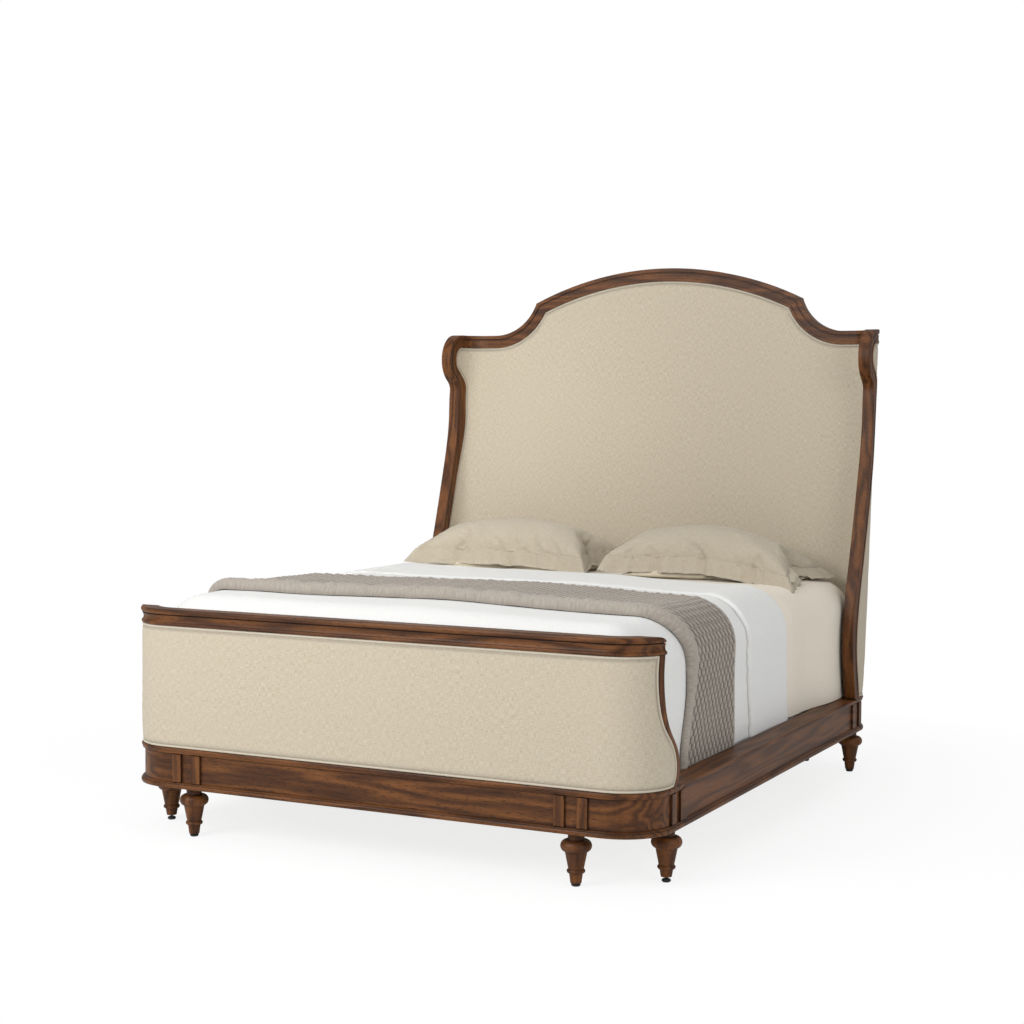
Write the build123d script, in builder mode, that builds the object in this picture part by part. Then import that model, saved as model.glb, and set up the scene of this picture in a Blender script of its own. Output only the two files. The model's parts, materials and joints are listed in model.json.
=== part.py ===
"""Upholstered wing bed: raked camelback headboard, wrap-round footboard, plinth, turned legs and bedding.

Millimetres. X runs across the bed, +Y to the head, Z up. The origin is on the floor, under the bed's middle.
"""

import math
import os

from build123d import *

os.makedirs("parts", exist_ok=True)

# Overall sizes
bed_length = 2290.0        # front of the foot plinth's bead to the back of the crest
plinth_width = 1744.0      # across the plinth's outer faces
crest_height = 1850.0      # floor to the top of the camelback
shoulder_height = 1724.0   # floor to the corner where the camelback meets the scoop
wing_height = 1597.0       # floor to the level top of the wings
footboard_height = 691.0   # floor to the top of the footboard's cap rail
rake = 6.0                 # degrees the headboard leans back

# Plinth, the frame-and-panel base at each end
plinth_bottom = 150.0
plinth_top = 272.0
plinth_wall = 32.0
plinth_corner = 150.0      # outer corner radius
field_depth = 7.0          # how far the panels lie behind the face
plinth_moulding = 19.0     # height of the cap and of the bead
moulding_bevel = 3.0       # slope from a moulding back to the panel
fascia_height = 4.0        # flat strip between the slope and the round
bead_height = 12.0
bead_round = 2.0
bead_proud = 5.0           # how far the bead stands out of the face
cap_proud = 3.0
foot_return = 233.0        # front face to the joint with the side rail
head_return = 215.0        # back face to the joint with the side rail
head_ledge = 29.0          # how far the head plinth stands out behind the headboard
pilaster_inset = 236.0     # middle of the end pilasters from the plinth's side face
pilaster_stile = 31.0
pilaster_field = 38.0
side_stile = 31.0          # pilaster on the plinth's side: stile, field, and half a stile at the joint
side_field = 34.0
joint_stile = 14.0

# Headboard shell, from the outside in
fabric_inset = 4.0         # fabric face behind the plinth's face
headboard_corner = 110.0   # outer corner radius
back_pad = 9.0
core_panel = 15.0          # laminated shell, on the flat back
core_wing = 13.0           # and on the thin wings
core_corner = 88.0         # inner corner radius of the shell
front_pad = 12.0           # foam on the flat back
wing_pad = 8.0             # and on the wings
inner_corner = 80.0        # corner radius of the padded inside

# Outline of the crest, seen from the front
shoulder_inset = 324.0     # corner between camelback and scoop, from the plinth's side face
scoop_inset = 150.0        # where the scoop runs out level

# Front edge of the wing, seen from the side: reach in front of the headboard's back at plinth level,
# and height as a share of the wing
wing_line = [(196.0, 0.0), (234.0, 0.127), (161.0, 0.376), (70.0, 0.591), (23.0, 0.756), (18.0, 0.82)]
ear_radius = 100.0
ear_setback = 14.0         # middle of the ear behind that back
ear_start = 56.0           # degrees below level where the front line runs into the ear

# Show-wood moulding, from its edge inwards: width, height and edge rounding of each member
moulding_steps = [(14.0, 6.0, 2.5), (6.0, 2.0, 0.0), (20.0, 4.0, 0.0), (10.0, 6.0, 1.2)]
rounded_edge = 60.0        # edges longer than this run along the moulding

# Footboard
outer_pad = 14.0
foot_core = 20.0
inner_pad = 12.0
cap_rail_height = 50.0
cap_rail_proud = 8.0
cap_nose_height = 16.0     # round nose on top
cap_nose_round = 4.0
cap_step = 3.0             # groove under the nose
cap_bead_height = 11.0     # bead at the bottom, with a cove above it
cap_end_round = 30.0
foot_stile_width = 22.0
foot_stile_proud = 4.0
foot_stile_round = 5.0
# End edge seen from the side: reach behind the foot plinth's face, and share of the upholstered height
foot_end_line = [(185.0, 0.0), (210.0, 0.13), (192.0, 0.28), (140.0, 0.44), (114.0, 0.645), (112.0, 1.0)]

# Side rails and slats
rail_gap = 0.5             # assembly gap at each end of a rail
rail_end_stile = 30.0
ledge_width = 72.0         # from the rail's face to the bedding
ledge_thickness = 16.0
ledge_fall = 3.0           # the ledge slopes this much towards the outside
ledge_round = 5.0
ledger_width = 38.0
ledger_height = 38.0
slat_count = 4
slat_width = 90.0
slat_thickness = 20.0
slat_end_gap = 2.0
post_side = 38.0
slat_foot_radius = 17.0
slat_foot_height = 8.0

# Joining plates at the rail ends
hook_plate_length = 130.0
hook_plate_height = 52.0
hook_plate_thickness = 3.0
hook_plate_lift = 14.0     # above the ledger
bolt_head_radius = 7.0
bolt_head_height = 4.0
bolt_spacing = 90.0

# Turned legs and their levelling glides
leg_inset = 42.0           # axis of the end legs behind the plinth's face
side_leg_inset = 34.0      # axis of the side legs behind the plinth's face
side_leg_foot = 34.0       # axis of the foot-side legs from the rail joint
side_leg_head = 53.0       # axis of the head-side legs from the rail joint
toe_radius = 15.5
shank_radius = 19.0
ankle_radius = 25.5        # small ring
calf_radius = 21.5
knee_radius = 31.0
ring_radius = 43.5         # large ring
neck_radius = 23.0
collar_radius = 27.0
ankle_height = 42.0
ankle_half = 6.0
ring_height = 112.0
ring_half = 16.5
collar_height = 11.0
block_size = (64.0, 50.0, 50.0)  # along the wall, inwards and up
glide_radius = 13.0
glide_height = 9.0
glide_round = 3.0
stem_radius = 4.0
stem_clearance = 0.05
stem_length = 30.0
glide_shown = 6.0          # how far the foot-side glides are screwed out
seat_clearance = 0.3       # between pieces that lift apart
insert_radius = 7.0
insert_length = 14.0

# Bedding
foundation_height = 190.0
foundation_margin = 12.0   # narrower and shorter than the mattress on each side
mattress_height = 291.0
mattress_side_gap = 110.0  # plinth face to the mattress
mattress_foot_gap = 20.0
mattress_head_gap = 25.0
mattress_edge = 60.0       # soft edge radius
mattress_corner = 80.0     # corner radius seen from above
sheet_thickness = 1.0
cover_gap = 0.5            # between layers of bedding
duvet_thickness = 24.0
duvet_loft = 28.0          # thickness on top
duvet_length = 1358.0      # foot end of the mattress to the turned-back edge
throw_thickness = 8.0
throw_start = 280.0        # foot end of the mattress to the throw
throw_width = 550.0
cover_hem = 12.0           # lower hems above the rails' ledge
pillow_overhang = 44.0     # beyond the mattress's side
pillow_gap = 12.0          # between the two pillows
pillow_depth = 480.0
pillow_height = 104.0
pillow_flange = 50.0
flange_thickness = 6.0
under_pillow_height = 75.0
under_pillow_setback = 40.0
pillow_back_gap = 66.0     # pillows to the headboard's padding
pillow_corner = 60.0
pillow_round = 40.0
under_pillow_round = 30.0

# Sizes that follow
half_face = plinth_width / 2
lean = math.tan(math.radians(rake))
foot_face = -bed_length / 2 + bead_proud
foot_joint = foot_face + foot_return
trim_proud = max(height for width, height, rounding in moulding_steps)
trim_width = sum(width for width, height, rounding in moulding_steps)
back_at_base = bed_length / 2 - trim_proud - (crest_height - plinth_top) * lean
head_face = back_at_base + head_ledge
head_joint = head_face - head_return
pilaster_x = half_face - pilaster_inset
shoulder_x = half_face - shoulder_inset
scoop_end_x = half_face - scoop_inset
cap_rail_bottom = footboard_height - cap_rail_height
foot_thickness = outer_pad + foot_core + inner_pad
inner_wall = half_face - plinth_wall
ledger_top = plinth_bottom + ledger_height
slat_top = ledger_top + slat_thickness
clear = 3000.0             # longer than the bed, for cutting prisms


def save(name, builder):
    """Label one finished piece and write it."""
    builder.part.label = name
    export_step(builder.part, f"parts/{name}.step")


def wall_face(half_width, end_y, closed_y, radius, level):
    """Plan of the space inside a horseshoe wall, open at end_y and closed at closed_y."""
    with BuildSketch(Plane.XY.offset(level)) as plan:
        with BuildLine():
            rim = FilletPolyline(
                (half_width, end_y),
                (half_width, closed_y),
                (-half_width, closed_y),
                (-half_width, end_y),
                radius=radius,
            )
            Line(rim @ 1, rim @ 0)
        make_face()
    return plan.sketch


def horseshoe(outer, inner, end_y, level):
    """Plan of a horseshoe wall between two (half width, closed y, corner radius) faces."""
    overrun = math.copysign(1.0, end_y - outer[1])
    outside = wall_face(outer[0], end_y, outer[1], outer[2], level)
    inside = wall_face(inner[0], end_y + overrun, inner[1], inner[2], level)
    return outside - inside


def horseshoe_path(half_width, joint, closed_y, radius):
    """Line round a horseshoe wall, started where a section drawn outwards and up faces along it."""
    side = -math.copysign(half_width, closed_y)
    corners = ((side, joint), (side, closed_y), (-side, closed_y), (-side, joint))
    with BuildLine() as path:
        FilletPolyline(*corners, radius=radius)
    return path.wires()[0]


# Headboard

# The faces of the headboard shell at plinth level: half width, back, corner radius
fabric_back = (half_face - fabric_inset, back_at_base, headboard_corner)
core_back = (fabric_back[0] - back_pad, back_at_base - back_pad, headboard_corner - back_pad)
core_front = (core_back[0] - core_wing, core_back[1] - core_panel, core_corner)
fabric_front = (core_front[0] - wing_pad, core_front[1] - front_pad, inner_corner)

scoop_drop = shoulder_height - wing_height
scoop_radius = ((scoop_end_x - shoulder_x) ** 2 + scoop_drop**2) / (2 * scoop_drop)
camel_rise = crest_height - shoulder_height
camel_radius = (shoulder_x**2 + camel_rise**2) / (2 * camel_rise)
ear_y = back_at_base + ear_setback
ear_z = wing_height - ear_radius


def headboard_shell(outer, inner):
    """A raked horseshoe wall between two faces, from the plinth to above the crest."""
    plan = horseshoe(outer, inner, back_at_base - 2 * wing_line[1][0], plinth_top)
    with BuildPart() as shell:
        rise = crest_height - plinth_top + trim_width
        extrude(plan, amount=rise / math.cos(math.radians(rake)), dir=(0, lean, 1))
    return shell.part


def shoulder(inset):
    """Corner between the camelback and the scoop, on the line a given inset inside the crest."""
    camel = camel_radius - inset
    scoop = scoop_radius + inset
    across = scoop_end_x
    up = wing_height + scoop_radius - (crest_height - camel_radius)
    reach = math.hypot(across, up)
    along = (camel**2 - scoop**2 + reach**2) / (2 * reach)
    aside = math.sqrt(camel**2 - along**2)
    x = (along * across - aside * up) / reach
    z = crest_height - camel_radius + (along * up + aside * across) / reach
    return x, z


def under_crest(inset):
    """Everything below the crest line moved down by an inset, as a prism along Y."""
    corner_x, corner_z = shoulder(inset)
    level = wing_height - inset
    with BuildPart() as prism:
        with BuildSketch(Plane.XZ):
            with BuildLine():
                TangentArc((scoop_end_x, level), (corner_x, corner_z), tangent=(-1, 0))
                ThreePointArc((corner_x, corner_z), (0, crest_height - inset), (-corner_x, corner_z))
                TangentArc((-scoop_end_x, level), (-corner_x, corner_z), tangent=(1, 0))
                Polyline(
                    (-scoop_end_x, level),
                    (-plinth_width, level),
                    (-plinth_width, 0),
                    (plinth_width, 0),
                    (plinth_width, level),
                    (scoop_end_x, level),
                )
            make_face()
        extrude(amount=clear, both=True)
    return prism.part


def behind_wing(inset):
    """Everything behind the wing's front line and ear set back by an inset, as a prism along X."""
    radius = ear_radius - inset
    span = wing_height - plinth_top
    edge = [(back_at_base - reach + inset, plinth_top + share * span) for reach, share in wing_line]
    start = math.radians(ear_start)
    ear_foot = (ear_y - radius * math.cos(start), ear_z - radius * math.sin(start))
    leaving = (edge[1][0] - edge[0][0], edge[1][1] - edge[0][1])
    arriving = (-math.sin(start), math.cos(start))
    top = (ear_y, ear_z + radius)
    with BuildPart() as prism:
        with BuildSketch(Plane.YZ):
            with BuildLine():
                Spline(*edge, ear_foot, tangents=(leaving, arriving))
                ThreePointArc(ear_foot, (ear_y - radius, ear_z), top)
                Polyline(top, (ear_y, clear), (clear, clear), (clear, plinth_top), edge[0])
            make_face()
        extrude(amount=clear, both=True)
    return prism.part


def moulding(line_prism, shell_at, cut, rounded=True):
    """Members of a moulding: bands of a wall that follow a prism's line, cut to length, rounded or crisp."""
    bands = []
    start = 0.0
    for width, height, rounding in moulding_steps:
        with BuildPart() as band:
            add(shell_at(height))
            add(line_prism(start), mode=Mode.INTERSECT)
            add(line_prism(start + width), mode=Mode.SUBTRACT)
            for plane, side in cut:
                split(bisect_by=plane, keep=side)
            if rounded and rounding:
                edges = band.edges().filter_by(GeomType.LINE, reverse=True)
                fillet(edges.filter_by(lambda edge: edge.length > rounded_edge), radius=rounding)
        bands.append(band.part)
        start += width
    return bands


def headboard_trim_shell(height):
    """The headboard wall with both faces moved out by the moulding's height."""
    outer = (fabric_back[0] + height, fabric_back[1] + height, fabric_back[2] + height)
    inner = (fabric_front[0] - height, fabric_front[1] - height, fabric_front[2] - height)
    return headboard_shell(outer, inner)


ear_plane = Plane(origin=(0, ear_y, 0), z_dir=(0, 1, 0))
inside_trim = under_crest(trim_width)
behind_trim = behind_wing(trim_width)

with BuildPart() as headboard_core:
    add(headboard_shell(core_back, core_front))
    add(inside_trim, mode=Mode.INTERSECT)
    add(behind_trim, mode=Mode.INTERSECT)
save("headboard_core", headboard_core)

with BuildPart() as headboard_front_upholstery:
    add(headboard_shell(core_front, fabric_front))
    add(inside_trim, mode=Mode.INTERSECT)
    add(behind_trim, mode=Mode.INTERSECT)
save("headboard_front_upholstery", headboard_front_upholstery)

with BuildPart() as headboard_back_upholstery:
    add(headboard_shell(fabric_back, core_back))
    add(inside_trim, mode=Mode.INTERSECT)
    add(behind_trim, mode=Mode.INTERSECT)
save("headboard_back_upholstery", headboard_back_upholstery)

with BuildPart() as crest_rail:
    add(moulding(under_crest, headboard_trim_shell, [(ear_plane, Keep.TOP)], rounded=False))
save("crest_rail", crest_rail)

with BuildPart() as right_wing_stile:
    add(moulding(behind_wing, headboard_trim_shell, [(Plane.YZ, Keep.TOP)]))
save("right_wing_stile", right_wing_stile)

with BuildPart() as left_wing_stile:
    mirror(right_wing_stile.part, about=Plane.YZ)
save("left_wing_stile", left_wing_stile)


# Footboard

foot_outer = (half_face - fabric_inset, foot_face + fabric_inset, plinth_corner - fabric_inset)


def foot_wall(depth):
    """Face of the footboard a given depth inside its outer fabric."""
    return (foot_outer[0] - depth, foot_outer[1] + depth, foot_outer[2] - depth)


def footboard_shell(outer_depth, inner_depth):
    """Upright horseshoe wall of the footboard, from the plinth to the cap rail."""
    plan = horseshoe(foot_wall(outer_depth), foot_wall(inner_depth), foot_joint + foot_return, plinth_top)
    with BuildPart() as shell:
        extrude(plan, amount=cap_rail_bottom - plinth_top)
    return shell.part


def before_foot_end(inset):
    """Everything in front of the footboard's end line moved forward by an inset, as a prism along X."""
    span = cap_rail_bottom - plinth_top
    edge = [(foot_face + reach - inset, plinth_top + share * span) for reach, share in foot_end_line]
    with BuildPart() as prism:
        with BuildSketch(Plane.YZ):
            with BuildLine():
                Spline(*edge)
                Polyline(edge[-1], (-clear, cap_rail_bottom), (-clear, plinth_top), edge[0])
            make_face()
        extrude(amount=clear, both=True)
    return prism.part


foot_pads = {
    "footboard_outer_upholstery": (0.0, outer_pad),
    "footboard_core": (outer_pad, outer_pad + foot_core),
    "footboard_inner_upholstery": (outer_pad + foot_core, foot_thickness),
}
for name, (outer_depth, inner_depth) in foot_pads.items():
    with BuildPart() as pad:
        add(footboard_shell(outer_depth, inner_depth))
        add(before_foot_end(foot_stile_width), mode=Mode.INTERSECT)
    save(name, pad)

with BuildPart() as right_footboard_stile:
    add(footboard_shell(-foot_stile_proud, foot_thickness + foot_stile_proud))
    add(before_foot_end(0), mode=Mode.INTERSECT)
    add(before_foot_end(foot_stile_width), mode=Mode.SUBTRACT)
    split(bisect_by=Plane.YZ, keep=Keep.TOP)
    s_edges = right_footboard_stile.edges().filter_by(GeomType.LINE, reverse=True)
    fillet(s_edges.filter_by(lambda edge: edge.length > rounded_edge), radius=foot_stile_round)
save("right_footboard_stile", right_footboard_stile)

with BuildPart() as left_footboard_stile:
    mirror(right_footboard_stile.part, about=Plane.YZ)
save("left_footboard_stile", left_footboard_stile)

# The cap rail is one moulded section swept round both corners and cut off above the end stiles
rail_path = horseshoe_path(foot_outer[0], foot_joint, foot_outer[1], foot_outer[2])
with BuildPart() as footboard_cap_rail:
    rail_start = Plane(origin=(foot_outer[0], foot_joint, cap_rail_bottom), x_dir=(1, 0, 0), z_dir=(0, -1, 0))
    nose_low = cap_rail_height - cap_nose_height
    nose_in = cap_rail_proud - cap_nose_round
    cove_high = nose_low - cap_step
    bead_in = cap_rail_proud / 4
    bead_out = 3 * bead_in
    with BuildSketch(rail_start):
        with BuildLine():
            Line((-foot_thickness, 0), (bead_in, 0))
            ThreePointArc((bead_in, 0), (bead_out, cap_bead_height / 2), (bead_in, cap_bead_height))
            cove_middle = (cap_bead_height + cove_high) / 2
            ThreePointArc((bead_in, cap_bead_height), (0, cove_middle), (nose_in, cove_high))
            Polyline((nose_in, cove_high), (0, cove_high), (0, nose_low), (nose_in, nose_low))
            ThreePointArc(
                (nose_in, nose_low),
                (cap_rail_proud, nose_low + cap_nose_height / 2),
                (nose_in, cap_rail_height),
            )
            Polyline((nose_in, cap_rail_height), (-foot_thickness, cap_rail_height), (-foot_thickness, 0))
        make_face()
    sweep(path=rail_path)
    end_y = foot_face + foot_end_line[-1][0]
    with BuildSketch(Plane.YZ) as rail_side:
        with Locations((end_y, footboard_height)):
            Rectangle(clear, clear, align=(Align.MAX, Align.MAX))
        upper_corner = rail_side.vertices().sort_by_distance((end_y, footboard_height, 0))[0]
        fillet(upper_corner, radius=cap_end_round)
    extrude(amount=clear, both=True, mode=Mode.INTERSECT)
save("footboard_cap_rail", footboard_cap_rail)


# Plinths

leg_places = {
    "foot_left": (-pilaster_x, foot_face + leg_inset),
    "foot_right": (pilaster_x, foot_face + leg_inset),
    "foot_side_left": (-half_face + side_leg_inset, foot_joint - side_leg_foot),
    "foot_side_right": (half_face - side_leg_inset, foot_joint - side_leg_foot),
    "head_side_left": (-half_face + side_leg_inset, head_joint + side_leg_head),
    "head_side_right": (half_face - side_leg_inset, head_joint + side_leg_head),
    "head_left": (-pilaster_x, head_face - leg_inset),
    "head_right": (pilaster_x, head_face - leg_inset),
}


def plinth_wall_face(end_face, depth):
    """Face of a plinth a given depth inside its outer face; end_face is the y of its closed end."""
    inwards = -math.copysign(depth, end_face)
    return (half_face - depth, end_face + inwards, plinth_corner - depth)


def bead_line(face, level):
    """Outline of the bottom bead on a face, from the underside up to the panel."""
    bead_in = face + bead_proud - bead_round
    bead_top = level + bead_height
    panel = face - field_depth
    ThreePointArc((bead_in, level), (face + bead_proud, level + bead_height / 2), (bead_in, bead_top))
    Polyline(
        (bead_in, bead_top),
        (face, bead_top),
        (face, bead_top + fascia_height),
        (panel, bead_top + fascia_height + moulding_bevel),
    )


def moulding_plane(end_face, joint, level):
    """Section plane at the start of the plinth's path: x outwards, y up."""
    outwards = -math.copysign(1.0, end_face)
    return Plane(
        origin=(outwards * half_face, joint, level),
        x_dir=(outwards, 0, 0),
        z_dir=(0, -outwards, 0),
    )


plinths = []
for end, end_face, joint in (("foot", foot_face, foot_joint), ("head", head_face, head_joint)):
    field_bottom = plinth_bottom + plinth_moulding
    field_top = plinth_top - plinth_moulding
    board_plan = horseshoe(
        plinth_wall_face(end_face, field_depth), plinth_wall_face(end_face, plinth_wall), joint, plinth_bottom
    )
    stile_plan = horseshoe(
        plinth_wall_face(end_face, 0), plinth_wall_face(end_face, field_depth), joint, field_bottom
    )
    path = horseshoe_path(half_face, joint, end_face, plinth_corner)

    with BuildPart() as plinth:
        extrude(board_plan, amount=plinth_top - plinth_bottom)
    save(f"{end}_plinth", plinth)
    plinths.append(plinth.part)

    with BuildPart() as plinth_cap:
        with BuildSketch(moulding_plane(end_face, joint, field_top)):
            with BuildLine():
                fascia_top = moulding_bevel + fascia_height
                Polyline(
                    (0, plinth_moulding),
                    (-field_depth, plinth_moulding),
                    (-field_depth, 0),
                    (0, moulding_bevel),
                    (0, fascia_top),
                )
                ThreePointArc(
                    (0, fascia_top),
                    (cap_proud, (fascia_top + plinth_moulding) / 2),
                    (0, plinth_moulding),
                )
            make_face()
        sweep(path=path)
    save(f"{end}_plinth_cap", plinth_cap)

    with BuildPart() as plinth_bead:
        with BuildSketch(moulding_plane(end_face, joint, plinth_bottom)):
            with BuildLine():
                bead_line(0, 0)
                Polyline((-field_depth, plinth_moulding), (-field_depth, 0), (bead_proud - bead_round, 0))
            make_face()
        sweep(path=path)
    save(f"{end}_plinth_bead", plinth_bead)

    # Raised stiles of the pilasters: pairs over the end legs, and over the side legs next to the joint
    inwards = -math.copysign(1.0, end_face)
    with BuildPart() as stile_slots:
        for side in (-1, 1):
            for shift in (-1, 1):
                middle = side * pilaster_x + shift * (pilaster_field + pilaster_stile) / 2
                with Locations((middle, end_face, field_bottom)):
                    Box(pilaster_stile, 2 * plinth_wall, clear)
            for offset, width in (
                (joint_stile / 2, joint_stile),
                (joint_stile + side_field + side_stile / 2, side_stile),
            ):
                with Locations((side * half_face, joint - inwards * offset, field_bottom)):
                    Box(2 * plinth_wall, width, clear)
    with BuildPart() as pilasters:
        extrude(stile_plan, amount=field_top - field_bottom)
        add(stile_slots.part, mode=Mode.INTERSECT)
    save(f"{end}_pilasters", pilasters)

# Blocks scribed to the inside of the plinths, one over each leg
with BuildPart() as leg_blocks:
    for place, (x, y) in leg_places.items():
        if "side" in place:
            with Locations((math.copysign(inner_wall, x), y, plinth_bottom)):
                inner_side = Align.MAX if x > 0 else Align.MIN
                Box(block_size[1], block_size[0], block_size[2], align=(inner_side, Align.CENTER, Align.MIN))
        else:
            end_face = foot_face if y < 0 else head_face
            wall_y = end_face - math.copysign(plinth_wall, end_face)
            with Locations((x, wall_y, plinth_bottom)):
                inner_side = Align.MIN if y < 0 else Align.MAX
                Box(block_size[0], block_size[1], block_size[2], align=(Align.CENTER, inner_side, Align.MIN))
    for plinth_part in plinths:
        add(plinth_part, mode=Mode.SUBTRACT)
save("leg_blocks", leg_blocks)


# Side rails

rail_length = head_joint - foot_joint - 2 * rail_gap
rail_board = plinth_wall - field_depth
rail_middle = (head_joint + foot_joint) / 2
rail_plane = Plane(origin=(0, rail_middle, 0), x_dir=(1, 0, 0), z_dir=(0, -1, 0))
ledge_bottom = plinth_top - ledge_thickness
ledge_inner = half_face - ledge_width

with BuildPart() as right_side_rail:
    board_face = half_face - field_depth
    with BuildSketch(rail_plane):
        with BuildLine():
            bead_line(half_face, plinth_bottom)
            Polyline(
                (board_face, plinth_bottom + plinth_moulding),
                (board_face, ledge_bottom),
                (board_face - rail_board, ledge_bottom),
                (board_face - rail_board, plinth_bottom),
                (half_face + bead_proud - bead_round, plinth_bottom),
            )
        make_face()
    extrude(amount=rail_length / 2, both=True)
    for side in (-1, 1):
        with Locations((half_face, rail_middle + side * rail_length / 2, plinth_bottom + plinth_moulding)):
            Box(
                field_depth,
                rail_end_stile,
                ledge_bottom - plinth_bottom - plinth_moulding,
                align=(Align.MAX, Align.MAX if side > 0 else Align.MIN, Align.MIN),
            )
save("right_side_rail", right_side_rail)

with BuildPart() as right_rail_cap:
    with BuildSketch(rail_plane):
        with BuildLine():
            nose = half_face + cap_proud
            nose_top = plinth_top - ledge_fall
            Polyline(
                (nose - ledge_round, ledge_bottom),
                (ledge_inner, ledge_bottom),
                (ledge_inner, plinth_top),
                (nose - ledge_round, nose_top),
            )
            ThreePointArc(
                (nose - ledge_round, nose_top),
                (nose, (nose_top + ledge_bottom) / 2),
                (nose - ledge_round, ledge_bottom),
            )
        make_face()
    extrude(amount=rail_length / 2, both=True)
save("right_rail_cap", right_rail_cap)

with BuildPart() as right_slat_ledger:
    with Locations((inner_wall, rail_middle, plinth_bottom)):
        Box(ledger_width, rail_length, ledger_height, align=(Align.MAX, Align.CENTER, Align.MIN))
save("right_slat_ledger", right_slat_ledger)

for piece, right_piece in (
    ("left_side_rail", right_side_rail),
    ("left_rail_cap", right_rail_cap),
    ("left_slat_ledger", right_slat_ledger),
):
    with BuildPart() as left_piece:
        mirror(right_piece.part, about=Plane.YZ)
    save(piece, left_piece)

# Steel plates across the four rail joints, each with a bolt into the rail and one into the plinth
plate_middle = ledger_top + hook_plate_lift + hook_plate_height / 2
plate_face = inner_wall - hook_plate_thickness
joints_y = (foot_joint, head_joint)

with BuildPart() as rail_hook_plates:
    for side in (-1, 1):
        for joint in joints_y:
            with Locations((side * inner_wall, joint, plate_middle)):
                inner_side = Align.MAX if side > 0 else Align.MIN
                Box(
                    hook_plate_thickness,
                    hook_plate_length,
                    hook_plate_height,
                    align=(inner_side, Align.CENTER, Align.CENTER),
                )
save("rail_hook_plates", rail_hook_plates)

with BuildPart() as rail_bolts:
    for side in (-1, 1):
        for joint in joints_y:
            for shift in (-1, 1):
                bolt_y = joint + shift * bolt_spacing / 2
                bolt_plane = Plane(origin=(side * plate_face, bolt_y, plate_middle), z_dir=(-side, 0, 0))
                with BuildSketch(bolt_plane):
                    RegularPolygon(bolt_head_radius, 6)
                extrude(amount=bolt_head_height)
save("rail_bolts", rail_bolts)

# Slats on the ledgers, with a post under the middle of each but the one at the foot
slat_pitch = (head_joint - foot_joint) / slat_count
slat_length = 2 * (inner_wall - slat_end_gap)
post_middle = rail_middle + slat_pitch / 2

with BuildPart() as slats:
    with Locations((0, rail_middle, ledger_top)):
        with GridLocations(0, slat_pitch, 1, slat_count):
            Box(slat_length, slat_width, slat_thickness, align=(Align.CENTER, Align.CENTER, Align.MIN))
save("slats", slats)

with BuildPart() as slat_posts:
    with Locations((0, post_middle, slat_foot_height)):
        with GridLocations(0, slat_pitch, 1, slat_count - 1):
            Box(
                post_side,
                post_side,
                ledger_top - slat_foot_height,
                align=(Align.CENTER, Align.CENTER, Align.MIN),
            )
save("slat_posts", slat_posts)

with BuildPart() as slat_feet:
    with Locations((0, post_middle, 0)):
        with GridLocations(0, slat_pitch, 1, slat_count - 1):
            Cylinder(slat_foot_radius, slat_foot_height, align=(Align.CENTER, Align.CENTER, Align.MIN))
save("slat_feet", slat_feet)


# Legs and glides

bore_depth = insert_length + stem_length + seat_clearance


def turned_leg(x, y, toe):
    """One turned leg: collar under the plinth, large ring, taper, small ring and toe, bored for its glide."""
    leg_plane = Plane(origin=(x, y, 0), x_dir=(1, 0, 0), z_dir=(0, -1, 0))
    ankle_low = ankle_height - ankle_half
    ankle_high = ankle_height + ankle_half
    ring_low = ring_height - ring_half
    ring_high = ring_height + ring_half
    with BuildPart() as leg:
        with BuildSketch(leg_plane):
            with BuildLine():
                Polyline(
                    (0, plinth_bottom),
                    (0, toe + bore_depth),
                    (stem_radius + stem_clearance, toe + bore_depth),
                    (stem_radius + stem_clearance, toe + insert_length),
                    (insert_radius, toe + insert_length),
                    (insert_radius, toe),
                    (toe_radius, toe),
                    (shank_radius, ankle_low),
                )
                ankle = (ankle_radius, ankle_height)
                ThreePointArc((shank_radius, ankle_low), ankle, (calf_radius, ankle_high))
                Line((calf_radius, ankle_high), (knee_radius, ring_low))
                ThreePointArc((knee_radius, ring_low), (ring_radius, ring_height), (neck_radius, ring_high))
                Polyline(
                    (neck_radius, ring_high),
                    (neck_radius, plinth_bottom - collar_height),
                    (collar_radius, plinth_bottom),
                    (0, plinth_bottom),
                )
            make_face()
        revolve(axis=Axis((x, y, 0), (0, 0, 1)))
    return leg


def levelling_glide(x, y):
    """A round foot on a threaded stem."""
    glide_plane = Plane(origin=(x, y, 0), x_dir=(1, 0, 0), z_dir=(0, -1, 0))
    with BuildPart() as glide:
        with BuildSketch(glide_plane):
            with BuildLine():
                Polyline((0, 0), (glide_radius - glide_round, 0), (glide_radius, glide_round))
                Polyline(
                    (glide_radius, glide_round),
                    (glide_radius, glide_height - glide_round),
                    (glide_radius - glide_round, glide_height),
                    (stem_radius, glide_height),
                    (stem_radius, glide_height + stem_length),
                    (0, glide_height + stem_length),
                    (0, 0),
                )
            make_face()
        revolve(axis=Axis((x, y, 0), (0, 0, 1)))
    return glide


toes = {}
for place, (x, y) in leg_places.items():
    shown = glide_shown if place.startswith("foot_side") else 0.0
    toes[place] = glide_height + seat_clearance + shown
    save(f"leg_{place}", turned_leg(x, y, toes[place]))
    save(f"glide_{place}", levelling_glide(x, y))

with BuildPart() as glide_inserts:
    for place, (x, y) in leg_places.items():
        with BuildSketch(Plane.XY.offset(toes[place])):
            with Locations((x, y)):
                Circle(insert_radius)
                Circle(stem_radius + stem_clearance, mode=Mode.SUBTRACT)
        extrude(amount=insert_length)
save("glide_inserts", glide_inserts)


# Bedding

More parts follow.
